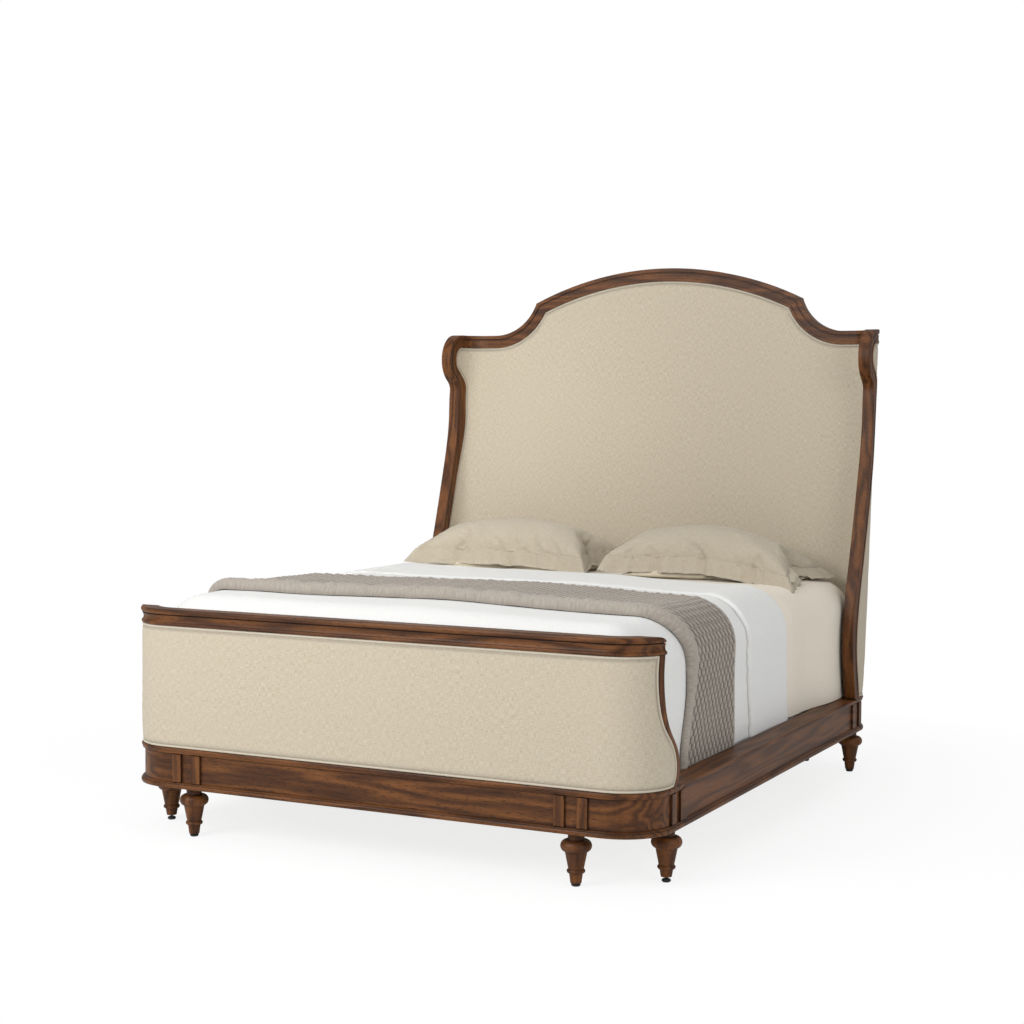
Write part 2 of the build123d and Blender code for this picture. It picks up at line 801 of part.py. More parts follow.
mattress_half = half_face - mattress_side_gap
foundation_bottom = slat_top + seat_clearance
foundation_top = foundation_bottom + foundation_height
mattress_bottom = foundation_top + seat_clearance
mattress_top = mattress_bottom + mattress_height
mattress_foot = foot_outer[1] + foot_thickness + mattress_foot_gap
head_at_mattress = fabric_front[1] + (mattress_bottom - plinth_top) * lean
mattress_head = head_at_mattress - mattress_head_gap
head_at_foundation = fabric_front[1] - (plinth_top - foundation_bottom) * lean
hem = plinth_top + cover_hem

with BuildPart() as foundation:
    foundation_foot = mattress_foot + foundation_margin
    with Locations((0, foundation_foot, foundation_bottom)):
        Box(
            2 * (mattress_half - foundation_margin),
            head_at_foundation - foundation_margin - foundation_foot,
            foundation_height,
            align=(Align.CENTER, Align.MIN, Align.MIN),
        )
    fillet(foundation.edges().filter_by(Axis.Z), radius=4 * foundation_margin)
save("foundation", foundation)


def bed_plan(stand):
    """Plan of the mattress with its round corners, grown sideways by a stand-off."""
    with BuildSketch(Plane.XY.offset(mattress_bottom)) as plan:
        with Locations((0, (mattress_foot + mattress_head) / 2)):
            RectangleRounded(
                2 * (mattress_half + stand),
                mattress_head - mattress_foot,
                mattress_corner,
            )
    return plan.sketch


mattress_plan = bed_plan(0)
with BuildPart() as mattress:
    extrude(mattress_plan, amount=mattress_height)
    fillet(mattress.edges().group_by(Axis.Z)[-1], radius=mattress_edge)
save("mattress", mattress)


def arch_face(side, top, low, start):
    """Section across the bed, of everything under a cover that stands off the mattress by side and top."""
    half = mattress_half + side
    height = mattress_top + top
    with BuildSketch(Plane(origin=(0, start, 0), x_dir=(1, 0, 0), z_dir=(0, -1, 0))) as arch:
        with BuildLine():
            corners = ((half, low), (half, height), (-half, height), (-half, low))
            line = FilletPolyline(*corners, radius=mattress_edge + side)
            Line(line @ 1, line @ 0)
        make_face()
    return arch.sketch


def cover(side, top, thickness, loft, low, start, length):
    """A layer of bedding over the mattress, thickness on the sides and loft on top, run along the bed."""
    outside = arch_face(side + thickness, top + loft, low, start)
    inside = arch_face(side, top, low - 1, start)
    plan = bed_plan(side + thickness)
    with BuildPart() as layer:
        extrude(outside - inside, amount=-length)
        extrude(plan, amount=clear, both=True, mode=Mode.INTERSECT)
    return layer


duvet_stand = 2 * cover_gap + sheet_thickness
throw_side = duvet_stand + duvet_thickness + cover_gap
throw_top = duvet_stand + duvet_loft + cover_gap
throw_foot = mattress_foot + throw_start

sheet_length = mattress_head - mattress_foot
sheet = cover(cover_gap, cover_gap, sheet_thickness, sheet_thickness, hem, mattress_foot, sheet_length)
save("sheet", sheet)
duvet = cover(duvet_stand, duvet_stand, duvet_thickness, duvet_loft, hem, mattress_foot, duvet_length)
save("duvet", duvet)
throw = cover(throw_side, throw_top, throw_thickness, throw_thickness, hem, throw_foot, throw_width)
save("throw", throw)

sheet_top = mattress_top + cover_gap + sheet_thickness
under_pillow_bottom = sheet_top + seat_clearance
pillow_bottom = under_pillow_bottom + under_pillow_height + seat_clearance
pillow_back = fabric_front[1] + (sheet_top - plinth_top) * lean - pillow_back_gap
pillow_width = mattress_half + pillow_overhang - pillow_gap / 2
pillow_spacing = (pillow_width + pillow_gap) / 2

for name, side in (("left", -1), ("right", 1)):
    with BuildPart() as under_pillow:
        with Locations((side * pillow_spacing, pillow_back, under_pillow_bottom)):
            Box(
                pillow_width - 2 * pillow_flange,
                pillow_depth - under_pillow_setback,
                under_pillow_height,
                align=(Align.CENTER, Align.MAX, Align.MIN),
            )
        fillet(under_pillow.edges().filter_by(Axis.Z), radius=pillow_corner)
        fillet(under_pillow.edges().group_by(Axis.Z)[-1], radius=under_pillow_round)
        fillet(under_pillow.edges().group_by(Axis.Z)[0], radius=under_pillow_round)
    save(f"under_pillow_{name}", under_pillow)

    with BuildPart() as pillow:
        with Locations((side * pillow_spacing, pillow_back - pillow_flange, pillow_bottom)):
            Box(
                pillow_width - 2 * pillow_flange,
                pillow_depth - 2 * pillow_flange,
                pillow_height,
                align=(Align.CENTER, Align.MAX, Align.MIN),
            )
        fillet(pillow.edges().filter_by(Axis.Z), radius=pillow_corner)
        fillet(pillow.edges().group_by(Axis.Z)[-1], radius=pillow_round)
        with BuildSketch(Plane.XY.offset(pillow_bottom)):
            with Locations((side * pillow_spacing, pillow_back - pillow_depth / 2)):
                RectangleRounded(pillow_width, pillow_depth, pillow_corner)
        extrude(amount=flange_thickness)
    save(f"pillow_{name}", pillow)
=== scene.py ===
# %% [markdown]
# # An upholstered wing bed, dressed
# The real bed is a tall camelback headboard with wings, a low footboard that wraps its two corners, panelled
# rails on turned legs, and made-up bedding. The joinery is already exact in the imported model, so this lesson
# keeps it and paints it, and makes what joinery can't show: stretched linen, piping, bedclothes and pillows.

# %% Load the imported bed
import json
import math

import bmesh
import bpy
import numpy as np
from mathutils import Matrix, Vector, bvhtree, noise


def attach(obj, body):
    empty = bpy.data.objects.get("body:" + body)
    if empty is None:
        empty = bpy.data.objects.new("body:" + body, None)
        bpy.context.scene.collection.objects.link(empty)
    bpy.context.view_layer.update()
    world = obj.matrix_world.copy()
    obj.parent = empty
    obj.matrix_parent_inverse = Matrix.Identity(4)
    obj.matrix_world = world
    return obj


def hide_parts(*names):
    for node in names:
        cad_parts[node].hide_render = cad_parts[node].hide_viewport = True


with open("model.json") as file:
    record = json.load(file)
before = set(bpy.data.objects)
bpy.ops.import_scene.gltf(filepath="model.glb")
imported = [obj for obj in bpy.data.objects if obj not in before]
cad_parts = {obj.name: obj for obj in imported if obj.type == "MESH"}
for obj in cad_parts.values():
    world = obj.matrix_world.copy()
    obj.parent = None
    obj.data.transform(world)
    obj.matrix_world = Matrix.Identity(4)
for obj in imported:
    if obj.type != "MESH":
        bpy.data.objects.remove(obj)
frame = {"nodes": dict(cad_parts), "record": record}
nodes = frame["nodes"]
scene = bpy.context.scene
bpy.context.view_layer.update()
slots = {part["node"]: part["material_slot"] for part in frame["record"]["subparts"]}

# %% [markdown]
# ## Small helpers
# Colours are given as sRGB hex values, but shaders work in linear light, so one function converts.
# Another adds any shader node: its own settings are keywords, its sockets are a dictionary of values or of
# other nodes' outputs. The nodes that most finishes need have a short function each, which hands back the
# node's output. That keeps a material readable as a list of what feeds what.

# %% Colour, node and material helpers
def colour(code):
    """A hex colour as linear red, green, blue, alpha."""
    parts = [int(code[i:i + 2], 16) / 255 for i in (1, 3, 5)]
    return [c / 12.92 if c < 0.04045 else ((c + 0.055) / 1.055) ** 2.4 for c in parts] + [1.0]


def node(tree, kind, sockets=None, **settings):
    """Adds one shader node with its settings, and gives its sockets values or links."""
    made = tree.nodes.new(kind)
    for name, value in settings.items():
        setattr(made, name, value)
    for socket, value in (sockets or {}).items():
        if isinstance(value, bpy.types.NodeSocket):
            tree.links.new(value, made.inputs[socket])
        else:
            made.inputs[socket].default_value = value
    return made


def material(name, **sockets):
    """Starts a material and returns it, its node tree and its shader."""
    made = bpy.data.materials.new(name)
    made.use_nodes = True
    shader = made.node_tree.nodes["Principled BSDF"]
    for socket, value in sockets.items():
        shader.inputs[socket.replace("_", " ")].default_value = value
    return made, made.node_tree, shader


# %% Short names for the usual nodes
mm_in_m = 1000.0


def scaled(tree, place, scale):
    """A place, squeezed or stretched along its axes."""
    return node(tree, "ShaderNodeMapping", {"Vector": place, "Scale": scale}).outputs[0]


def speckle(tree, place, scale, detail, **sockets):
    """Noise with so many grains to the metre."""
    wanted = {"Vector": place, "Scale": scale, "Detail": detail, **sockets}
    return node(tree, "ShaderNodeTexNoise", wanted).outputs["Fac"]


def ranged(tree, value, low=0.0, high=1.0, to_low=0.0, to_high=1.0):
    """A value, stretched from one range to another."""
    wanted = {"Value": value, "From Min": low, "From Max": high, "To Min": to_low, "To Max": to_high}
    return node(tree, "ShaderNodeMapRange", wanted).outputs[0]


def sums(tree, operation, *values):
    """One sum with one, two or three values."""
    return node(tree, "ShaderNodeMath", dict(enumerate(values)), operation=operation).outputs[0]


def mixed(tree, share, first, second):
    """Two colours, each a hex code or an output, mixed by a share from 0 to 1."""
    first, second = (colour(c) if isinstance(c, str) else c for c in (first, second))
    return node(tree, "ShaderNodeMix", {0: share, 6: first, 7: second}, data_type="RGBA").outputs[2]


def bumped(tree, height, strength, distance, **normal):
    """Fine relief from a height, on top of another relief if there is one."""
    wanted = {"Height": height, "Strength": strength, "Distance": distance, **normal}
    return node(tree, "ShaderNodeBump", wanted).outputs[0]


def coat(tree, shader, base, relief):
    """Gives a shader its colour and its relief."""
    tree.links.new(base, shader.inputs["Base Color"])
    tree.links.new(relief, shader.inputs["Normal"])


print("node helpers ready")

# %% [markdown]
# ## The studio
# The bed stands in a white cove, lit by a big soft lamp left of the foot, one overhead for the bedding, a
# weak one on the right, and a narrow one that brightens the left of the headboard. The world is plain white
# to the camera, but lights the bed at a lower level, so that a colour comes out about as it is written and
# the lacquer has no white veil. The floor fades to the same white a few metres out and keeps only the soft
# shadow under the bed.

# %% World
scene.view_settings.view_transform = "Standard"
ambient = 0.53
world = bpy.data.worlds.new("studio")
scene.world = world
world.use_nodes = True
tree = world.node_tree
path = node(tree, "ShaderNodeLightPath")
seen = sums(tree, "MAXIMUM", path.outputs["Is Camera Ray"], path.outputs["Is Transmission Ray"])
level = ranged(tree, seen, to_low=ambient)
tree.links.new(level, tree.nodes["Background"].inputs["Strength"])
tree.nodes["Background"].inputs["Color"].default_value = colour("#ffffff")
print("world lights at", ambient)


# %% Lamps
def lamp(name, place, aim, size, power, spread=180):
    """A square soft lamp at a place, turned to a point; a small spread, in degrees, narrows its light."""
    made = bpy.data.lights.new(name, "AREA")
    made.shape = "SQUARE"
    made.size = size
    made.energy = power
    made.spread = math.radians(spread)
    holder = bpy.data.objects.new(name, made)
    scene.collection.objects.link(holder)
    turn = (Vector(aim) - Vector(place)).to_track_quat("-Z", "Y").to_matrix().to_4x4()
    holder.matrix_world = Matrix.Translation(place) @ turn
    return holder


lamps = [lamp("key_lamp", (-1.5, -4.3, 2.9), (-0.1, 0.0, 0.8), 2.0, 133.0),
         lamp("top_lamp", (0.2, -0.5, 4.6), (0.0, -0.1, 0.7), 2.6, 31.0),
         lamp("fill_lamp", (4.4, -2.6, 2.4), (0.0, 0.0, 0.7), 2.4, 46.0),
         lamp("headboard_lamp", (0.9, -2.6, 3.0), (-0.95, 0.9, 1.15), 0.6, 2.0, spread=30)]
print("lamps, in watts:", {holder.name: holder.data.energy for holder in lamps})

# %% Floor
floor_radius, shadow_radius, white_radius, shadow_white = 9.0, 0.9, 2.4, 0.80
cove, tree, shader = material("white_cove", Base_Color=colour("#ffffff"), Roughness=1.0,
                              Specular_IOR_Level=0.0)
place = node(tree, "ShaderNodeTexCoord")
away = node(tree, "ShaderNodeVectorMath", {0: place.outputs["Object"]}, operation="LENGTH")
fade = ranged(tree, away.outputs["Value"], shadow_radius, white_radius, shadow_white)
path = node(tree, "ShaderNodeLightPath")
white = sums(tree, "MULTIPLY", path.outputs["Is Camera Ray"], fade)
glow = node(tree, "ShaderNodeEmission", {"Color": colour("#ffffff"), "Strength": 1.0})
blend = node(tree, "ShaderNodeMixShader", {0: white, 1: shader.outputs[0], 2: glow.outputs[0]})
tree.links.new(blend.outputs[0], tree.nodes["Material Output"].inputs["Surface"])
bm = bmesh.new()
bmesh.ops.create_circle(bm, cap_ends=True, radius=floor_radius, segments=96)
mesh = bpy.data.meshes.new("floor")
bm.to_mesh(mesh)
bm.free()
floor = bpy.data.objects.new("floor", mesh)
scene.collection.objects.link(floor)
mesh.materials.append(cove)
print("floor", 2 * floor_radius, "m across")

# %% [markdown]
# ## The camera
# The photographer stood off the foot's right corner with a longish lens, a little above the mattress. The
# place, the turn and the focal length were solved from straight edges of the bed whose sizes are known.

# %% Camera
eye = Vector((2.7012, -5.6461, 1.2931))
yaw, pitch, roll = math.radians(26.488), math.radians(3.1226), math.radians(0.3266)
lens = bpy.data.cameras.new("photo_view")
lens.sensor_width = 36.0
lens.lens = 65.117
camera = bpy.data.objects.new("photo_view", lens)
scene.collection.objects.link(camera)
camera.matrix_world = (Matrix.Translation(eye) @ Matrix.Rotation(yaw, 4, "Z")
                       @ Matrix.Rotation(math.pi / 2 - pitch, 4, "X") @ Matrix.Rotation(roll, 4, "Z"))
scene.camera = camera
print("camera", [round(c, 2) for c in eye], "lens", lens.lens, "mm")

# %% [markdown]
# ## Walnut show-wood
# Stained walnut under satin lacquer: brown with darker streaks that run with the length of each piece,
# arched cathedral figure where a board is cut flat, tiny open pores, and a soft gloss. The figure is made
# from contour lines of one slow noise, squeezed along the grain, because that gives the nested arches a real
# board has. The same recipe is made three times, for pieces whose grain runs along X, Y or Z.

# %% Walnut
def walnut(name, grain):
    """Stained walnut with its grain along one axis."""
    made, tree, shader = material(name, Specular_IOR_Level=0.22)
    place = node(tree, "ShaderNodeTexCoord").outputs["Object"]
    squeeze = [1.0, 1.0, 1.0]
    squeeze["XYZ".index(grain)] = 0.09
    board = scaled(tree, place, squeeze)
    # slow figure, about 110 mm across the grain, whose contours are the cathedral arches 8 to 16 mm apart
    figure = speckle(tree, board, 9.0, 2.0)
    rings = sums(tree, "SINE", sums(tree, "MULTIPLY", figure, 55.0))
    # streaks about 10 mm wide, and pores drawn 1.5 mm wide, coarser than the real 0.3 mm, so that they show
    streaks = speckle(tree, board, 95.0, 4.0, Roughness=0.6)
    pores = speckle(tree, board, 650.0, 2.0)
    tone = sums(tree, "MULTIPLY_ADD", streaks, 0.9, ranged(tree, rings, -1.0, 1.0, 0.20, 0.70))
    wood = mixed(tree, ranged(tree, tone, 0.45, 1.3), "#2e1607", "#714521")
    wood = mixed(tree, ranged(tree, pores, 0.30, 0.44), "#241208", wood)
    # painted shade: the wood is darkened where the quirks between the mouldings are occluded, so they read as
    # dark lines
    quirk_shade = node(tree, "ShaderNodeAmbientOcclusion", {"Distance": 0.02}, samples=8).outputs["AO"]
    wood = mixed(tree, ranged(tree, quirk_shade, 0.25, 0.85), "#1a0d06", wood)
    gloss = ranged(tree, streaks, to_low=0.36, to_high=0.56)
    tree.links.new(gloss, shader.inputs["Roughness"])
    # sanded edges are eased by about two millimetres
    sanded = node(tree, "ShaderNodeBevel", {"Radius": 0.0022}, samples=4).outputs[0]
    coat(tree, shader, wood, bumped(tree, pores, 0.12, 0.0005, Normal=sanded))
    return made


wood_along = {grain: walnut("stained_walnut_" + grain.lower(), grain) for grain in "XYZ"}
print("walnut:", [m.name for m in wood_along.values()])

# %% [markdown]
# ## Hidden timber, steel and plastic
# Under the bedding are pale poplar slats and ledgers, the layered core of the headboard, zinc-plated joining
# plates, and black nylon feet. Each is a plain everyday finish, but none is one flat colour: the timber has
# grain, the core shows its layers, the zinc is faintly mottled and the nylon has a fine moulded texture.

# %% Poplar, laminated core, zinc and nylon
def timber(name, pale, dark, squeeze, across):
    """A clear-coated timber: streaks of two tones, some millimetres across."""
    made, tree, shader = material(name, Roughness=0.6)
    place = node(tree, "ShaderNodeTexCoord").outputs["Object"]
    streaks = speckle(tree, scaled(tree, place, squeeze), mm_in_m / across, 4.0)
    wood = mixed(tree, ranged(tree, streaks, 0.3, 0.7), dark, pale)
    coat(tree, shader, wood, bumped(tree, streaks, 0.2, 0.0005))
    return made


def grainy(name, base, mottle, grit, **sockets):
    """A plated or moulded finish: two close tones and a grit of some millimetres."""
    made, tree, shader = material(name, **sockets)
    place = node(tree, "ShaderNodeTexCoord").outputs["Object"]
    spots = speckle(tree, place, mm_in_m / grit, 3.0)
    coat(tree, shader, mixed(tree, spots, base, mottle), bumped(tree, spots, 0.15, 0.0003))
    return made


poplar = timber("clear_poplar", "#d9bf93", "#c2a274", (0.08, 1.0, 1.0), 9.0)
core = timber("laminated_beech_core", "#c9a877", "#a98656", (1.0, 0.05, 1.0), 3.0)
zinc = grainy("zinc_plated_steel", "#b9bcbf", "#a2a6aa", 6.0, Metallic=1.0, Roughness=0.38)
nylon = grainy("black_nylon", "#17171a", "#232327", 1.5, Roughness=0.55)
print("hidden finishes:", poplar.name, core.name, zinc.name, nylon.name)

# %% [markdown]
# ## Finishing the joinery
# Every node that stays gets its finish by the slot that the record names. Walnut is chosen by the way each
# piece was cut: rails and plinth along their length, legs and stiles upright.

# %% Give each node its finish
upright = ("leg_", "wing_stile", "footboard_stile", "pilasters", "leg_blocks")
lengthwise = ("side_rail", "rail_cap")
plain = {"pale_wood": poplar, "laminate": core, "steel": zinc, "black_plastic": nylon}


def finish_for(name):
    """The finish of one node of the joinery."""
    if slots[name] in plain:
        return plain[slots[name]]
    if any(word in name for word in upright):
        return wood_along["Z"]
    return wood_along["Y" if any(word in name for word in lengthwise) else "X"]


finished = 0
for name, part in nodes.items():
    if slots[name] == "walnut" or slots[name] in plain:
        part.data.materials.clear()
        part.data.materials.append(finish_for(name))
        finished += 1
print(finished, "nodes of the joinery finished")

# %% [markdown]
# ## Linen
# The upholstery is a plain-woven linen blend in warm oatmeal. Up close it shows slubs, thicker stretches of
# yarn that run a few centimetres along the weft and the warp, and a cloudy change of tone. The threads are
# about 0.6 mm apart, too fine for the picture, so the weave is drawn at 1.4 mm. The pattern follows each
# piece's own UV map, laid out in metres, so it bends round corners with the cloth.

# %% Woven cloth
def woven(name, base, slub, shade, thread, bump, sheen, crush=0.0):
    """A plain-woven cloth: yarn, slub and shade tones, thread width in mm, depth of its relief and crush."""
    made, tree, shader = material(name, Roughness=0.9, Specular_IOR_Level=0.25, Sheen_Weight=sheen,
                                  Sheen_Roughness=0.5)
    layout = node(tree, "ShaderNodeUVMap", uv_map="cloth").outputs[0]
    threads = mm_in_m / thread
    slubs = 0.09 * threads
    weft = speckle(tree, scaled(tree, layout, (slubs, threads, 1.0)), 1.0, 2.0)
    warp = speckle(tree, scaled(tree, layout, (threads, slubs, 1.0)), 1.0, 2.0)
    yarn = sums(tree, "ADD", weft, warp)
    cloth = mixed(tree, ranged(tree, yarn, 0.72, 1.28), slub, base)
    cloud = speckle(tree, layout, 3.0, 3.0)
    cloth = mixed(tree, ranged(tree, cloud, 0.35, 0.7, to_high=0.35), cloth, shade)
    # a piece may mark its seams with painted shade, drawn as a thin dark line where the seam's groove would be
    # shaded
    # the seam's painted shade, read from the mesh
    sewn = node(tree, "ShaderNodeAttribute", attribute_name="seam_shade", attribute_type="GEOMETRY")
    cloth = mixed(tree, sewn.outputs["Fac"], cloth, "#6f6a62")
    relief = bumped(tree, yarn, 0.5, bump)
    if crush:
        soft = speckle(tree, layout, 9.0, 3.0, Distortion=0.6)
        sharp = speckle(tree, layout, 30.0, 2.0, Distortion=1.5)
        folds = sums(tree, "MULTIPLY_ADD", sharp, 0.3, soft)
        relief = bumped(tree, folds, 1.0, crush, Normal=relief)
    coat(tree, shader, cloth, relief)
    return made


linen = woven("oatmeal_linen", "#c6bdab", "#a69983", "#b9ae9b", 1.4, 0.0008, 0.1)
piping = woven("oatmeal_linen_piping", "#c6bead", "#b3a896", "#bdb3a2", 1.4, 0.0006, 0.1)
print("cloth:", linen.name, piping.name)

# %% [markdown]
# ## Finishing a piece
# Every new piece goes the same way: its bmesh becomes a mesh at the origin, it gets its finish, it rides on
# the body that carries it, and it may stand for the plain node that the model keeps for collisions. A cloth
# piece has a UV map in metres, so a grid gets one from its own flat measures. Cloth with wadding is thickened
# inwards by a modifier, and piping is a curve with a round bevel, turned into a mesh.

# %% Piece and grid helpers
def piece(name, bm, look, body, stands_for=()):
    """Turns a bmesh into a finished piece that rides on a body."""
    mesh = bpy.data.meshes.new(name)
    bm.to_mesh(mesh)
    bm.free()
    mesh.shade_smooth()
    mesh.materials.append(look)
    made = bpy.data.objects.new(name, mesh)
    scene.collection.objects.link(made)
    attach(made, body)
    if stands_for:
        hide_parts(*stands_for)
    return made


def cloth_grid(points, flat):
    """A grid of cloth: points and flat measures are arrays of rows, columns and coordinates."""
    rows, columns = points.shape[:2]
    bm = bmesh.new()
    layout = bm.loops.layers.uv.new("cloth")
    bmesh.ops.create_grid(bm, x_segments=columns - 1, y_segments=rows - 1, size=1.0)
    bm.verts.index_update()
    for vert, place in zip(bm.verts, points.reshape(-1, 3)):
        vert.co = place
    measures = flat.reshape(-1, 2)
    for face in bm.faces:
        for loop in face.loops:
            loop[layout].uv = measures[loop.vert.index]
    return bm


def thicken(made, name, thickness):
    """Gives a cloth its thickness, inwards from its face."""
    layers = made.modifiers.new(name, "SOLIDIFY")
    layers.thickness = thickness
    layers.offset = -1.0


# %% Piping helper
def cord(name, path, radius, look, body):
    """A round cord of cloth along a closed path, as piping or a tape."""
    line = bpy.data.curves.new(name, "CURVE")
    line.dimensions = "3D"
    line.bevel_depth = radius
    line.bevel_resolution = 2
    line.use_fill_caps = False
    run = line.splines.new("POLY")
    run.points.add(len(path) - 1)
    run.points.foreach_set("co", np.hstack([path, np.ones((len(path), 1))]).ravel())
    run.use_cyclic_u = True
    holder = bpy.data.objects.new(name + "_path", line)
    mesh = bpy.data.meshes.new_from_object(holder)
    bpy.data.objects.remove(holder)
    bm = bmesh.new()
    bm.from_mesh(mesh)
    bpy.data.meshes.remove(mesh)
    layout = bm.loops.layers.uv.get("cloth") or bm.loops.layers.uv.new("cloth")
    for face in bm.faces:
        for loop in face.loops:
            loop[layout].uv = (loop.vert.co.x + loop.vert.co.y, loop.vert.co.z)
    return piece(name, bm, look, body)


print("piece, cloth and cord helpers ready")

# %% [markdown]
# ## Stretched covers
# Headboard and footboard are bent shells: seen from above each is a horseshoe, and the headboard leans back.
# The linen is pulled over padding and tacked down inside the wood moulding, so it dips at its border, rolls
# up over a finger's width and then crowns slightly. A point on such a wall is known by how far round it lies,
# how high, and how far it stands off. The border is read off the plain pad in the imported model, so the cover
# fits the wood wherever that goes, and a grid is eased between the four sides of the border.

# %% A horseshoe wall
lean_from = 0.272


def wall(back, half, corner, lean=0.0, facing=1):
    """Two functions for a horseshoe wall, in metres: one places (round, up, off), one measures points."""
    straight = half - corner
    bend = corner * math.pi / 2

    def place(round_, up, off):
        a = np.abs(round_)
        turn = np.clip((a - straight) / corner, 0.0, math.pi / 2)
        run = np.maximum(a - straight - bend, 0.0)
        x = np.minimum(a, straight) + (corner + off) * np.sin(turn)
        y = back - corner + (corner + off) * np.cos(turn) - run
        return np.stack([np.sign(round_) * x, facing * y + lean * (up - lean_from), up], -1)

    def measure(points):
        x, up = np.abs(points[:, 0]), points[:, 2]
        y = facing * (points[:, 1] - lean * (up - lean_from)) - (back - corner)
        angle = np.arctan2(np.maximum(x - straight, 0.0), np.maximum(y, 1e-9))
        reach = np.where(x > straight, np.hypot(x - straight, np.maximum(y, 0.0)), y)
        forward = y < 0
        round_ = np.where(forward, straight + bend - y, np.where(x > straight, straight + corner * angle, x))
        off = np.where(forward, x - half, reach - corner)
        return np.sign(points[:, 0]) * round_, up, off

    return place, measure


lean = math.tan(math.radians(6.0))
walls = {
    "headboard_front_upholstery": wall(0.9371, 0.838, 0.080, lean),
    "headboard_back_upholstery": wall(0.9731, 0.868, 0.110, lean),
    "footboard_outer_upholstery": wall(1.136, 0.868, 0.146, facing=-1),
    "footboard_inner_upholstery": wall(1.090, 0.822, 0.100, facing=-1),
}
print("walls:", list(walls))

# %% Read a pad's border
weld, show_face = 2e-5, 6e-4


def border(name):
    """The outline of a pad's show face: a closed loop of (round, up) that starts at its lower left corner."""
    measure = walls[name][1]
    bm = bmesh.new()
    bm.from_mesh(nodes[name].data)
    bmesh.ops.remove_doubles(bm, verts=bm.verts, dist=weld)
    off = measure(np.array([v.co for v in bm.verts]))[2]
    bm.verts.index_update()
    hidden = [f for f in bm.faces if max(abs(off[v.index]) for v in f.verts) > show_face]
    bmesh.ops.delete(bm, geom=hidden, context="FACES")
    edge = next(e for e in bm.edges if len(e.link_faces) == 1)
    first, vert, loop = edge.verts[0], edge.verts[1], [edge.verts[0]]
    while vert is not first:
        loop.append(vert)
        edge = next(e for e in vert.link_edges if len(e.link_faces) == 1 and e is not edge)
        vert = edge.other_vert(vert)
    round_, up, _ = measure(np.array([v.co for v in loop]))
    bm.free()
    loop = np.stack([round_, up], -1)
    spin = np.sum(loop[:, 0] * np.roll(loop[:, 1], -1) - loop[:, 1] * np.roll(loop[:, 0], -1))
    loop = loop if spin > 0 else loop[::-1]
    return np.roll(loop, -int(np.argmin(loop.sum(1))), axis=0)


def walk(line, steps):
    """Points at given fractions of the length of a line."""
    length = np.concatenate([[0.0], np.cumsum(np.linalg.norm(np.diff(line, axis=0), axis=1))])
    at = np.asarray(steps) * length[-1]
    return np.stack([np.interp(at, length, line[:, k]) for k in range(line.shape[1])], -1)


outlines = {name: border(name) for name in walls}
for name, loop in outlines.items():
    print(name, len(loop), "points, up", loop[:, 1].min().round(3), "to", loop[:, 1].max().round(3))

# %% Steps and distances for a cover's grid
edge_steps = [0.0, 0.003, 0.007, 0.012, 0.018, 0.027, 0.040, 0.060]


def eased(length, pitch=0.026):
    """Fractions along a side: fine steps at both ends, even ones between."""
    middle = np.linspace(edge_steps[-1], length - edge_steps[-1], max(int(length / pitch), 4))
    return np.concatenate([edge_steps[:-1], middle, length - np.array(edge_steps[-2::-1])]) / length


def off_border(points, loop):
    """How far points lie from a closed outline."""
    best = np.full(len(points), np.inf)
    for p, d in zip(loop, np.roll(loop, -1, axis=0) - loop):
        t = np.clip((points - p) @ d / max(d @ d, 1e-12), 0.0, 1.0)
        best = np.minimum(best, np.linalg.norm(points - p - t[:, None] * d, axis=1))
    return best


def rounded(depth, width):
    """An edge like a quarter circle: 0 at the border, 1 from a width inside it."""
    return np.sqrt(np.clip(1 - (1 - np.clip(depth / width, 0, 1)) ** 2, 0, 1))


print("a cover has", 2 * len(edge_steps) - 2, "fine steps on each side")

# %% Stretch the covers
# how deep the border is tucked, how high and wide the linen rolls up from it, and how far in it crowns
tuck, roll_rise, roll_width, crown_width = 0.006, 0.0085, 0.018, 0.26
# the welt is stitched down along its inner side, ten millimetres in, and painted shade draws that stitched
# groove as a thin dark line
stitch_in, stitch_width, welt_stitch_shade = 0.010, 0.006, 0.6
wadding = 0.005


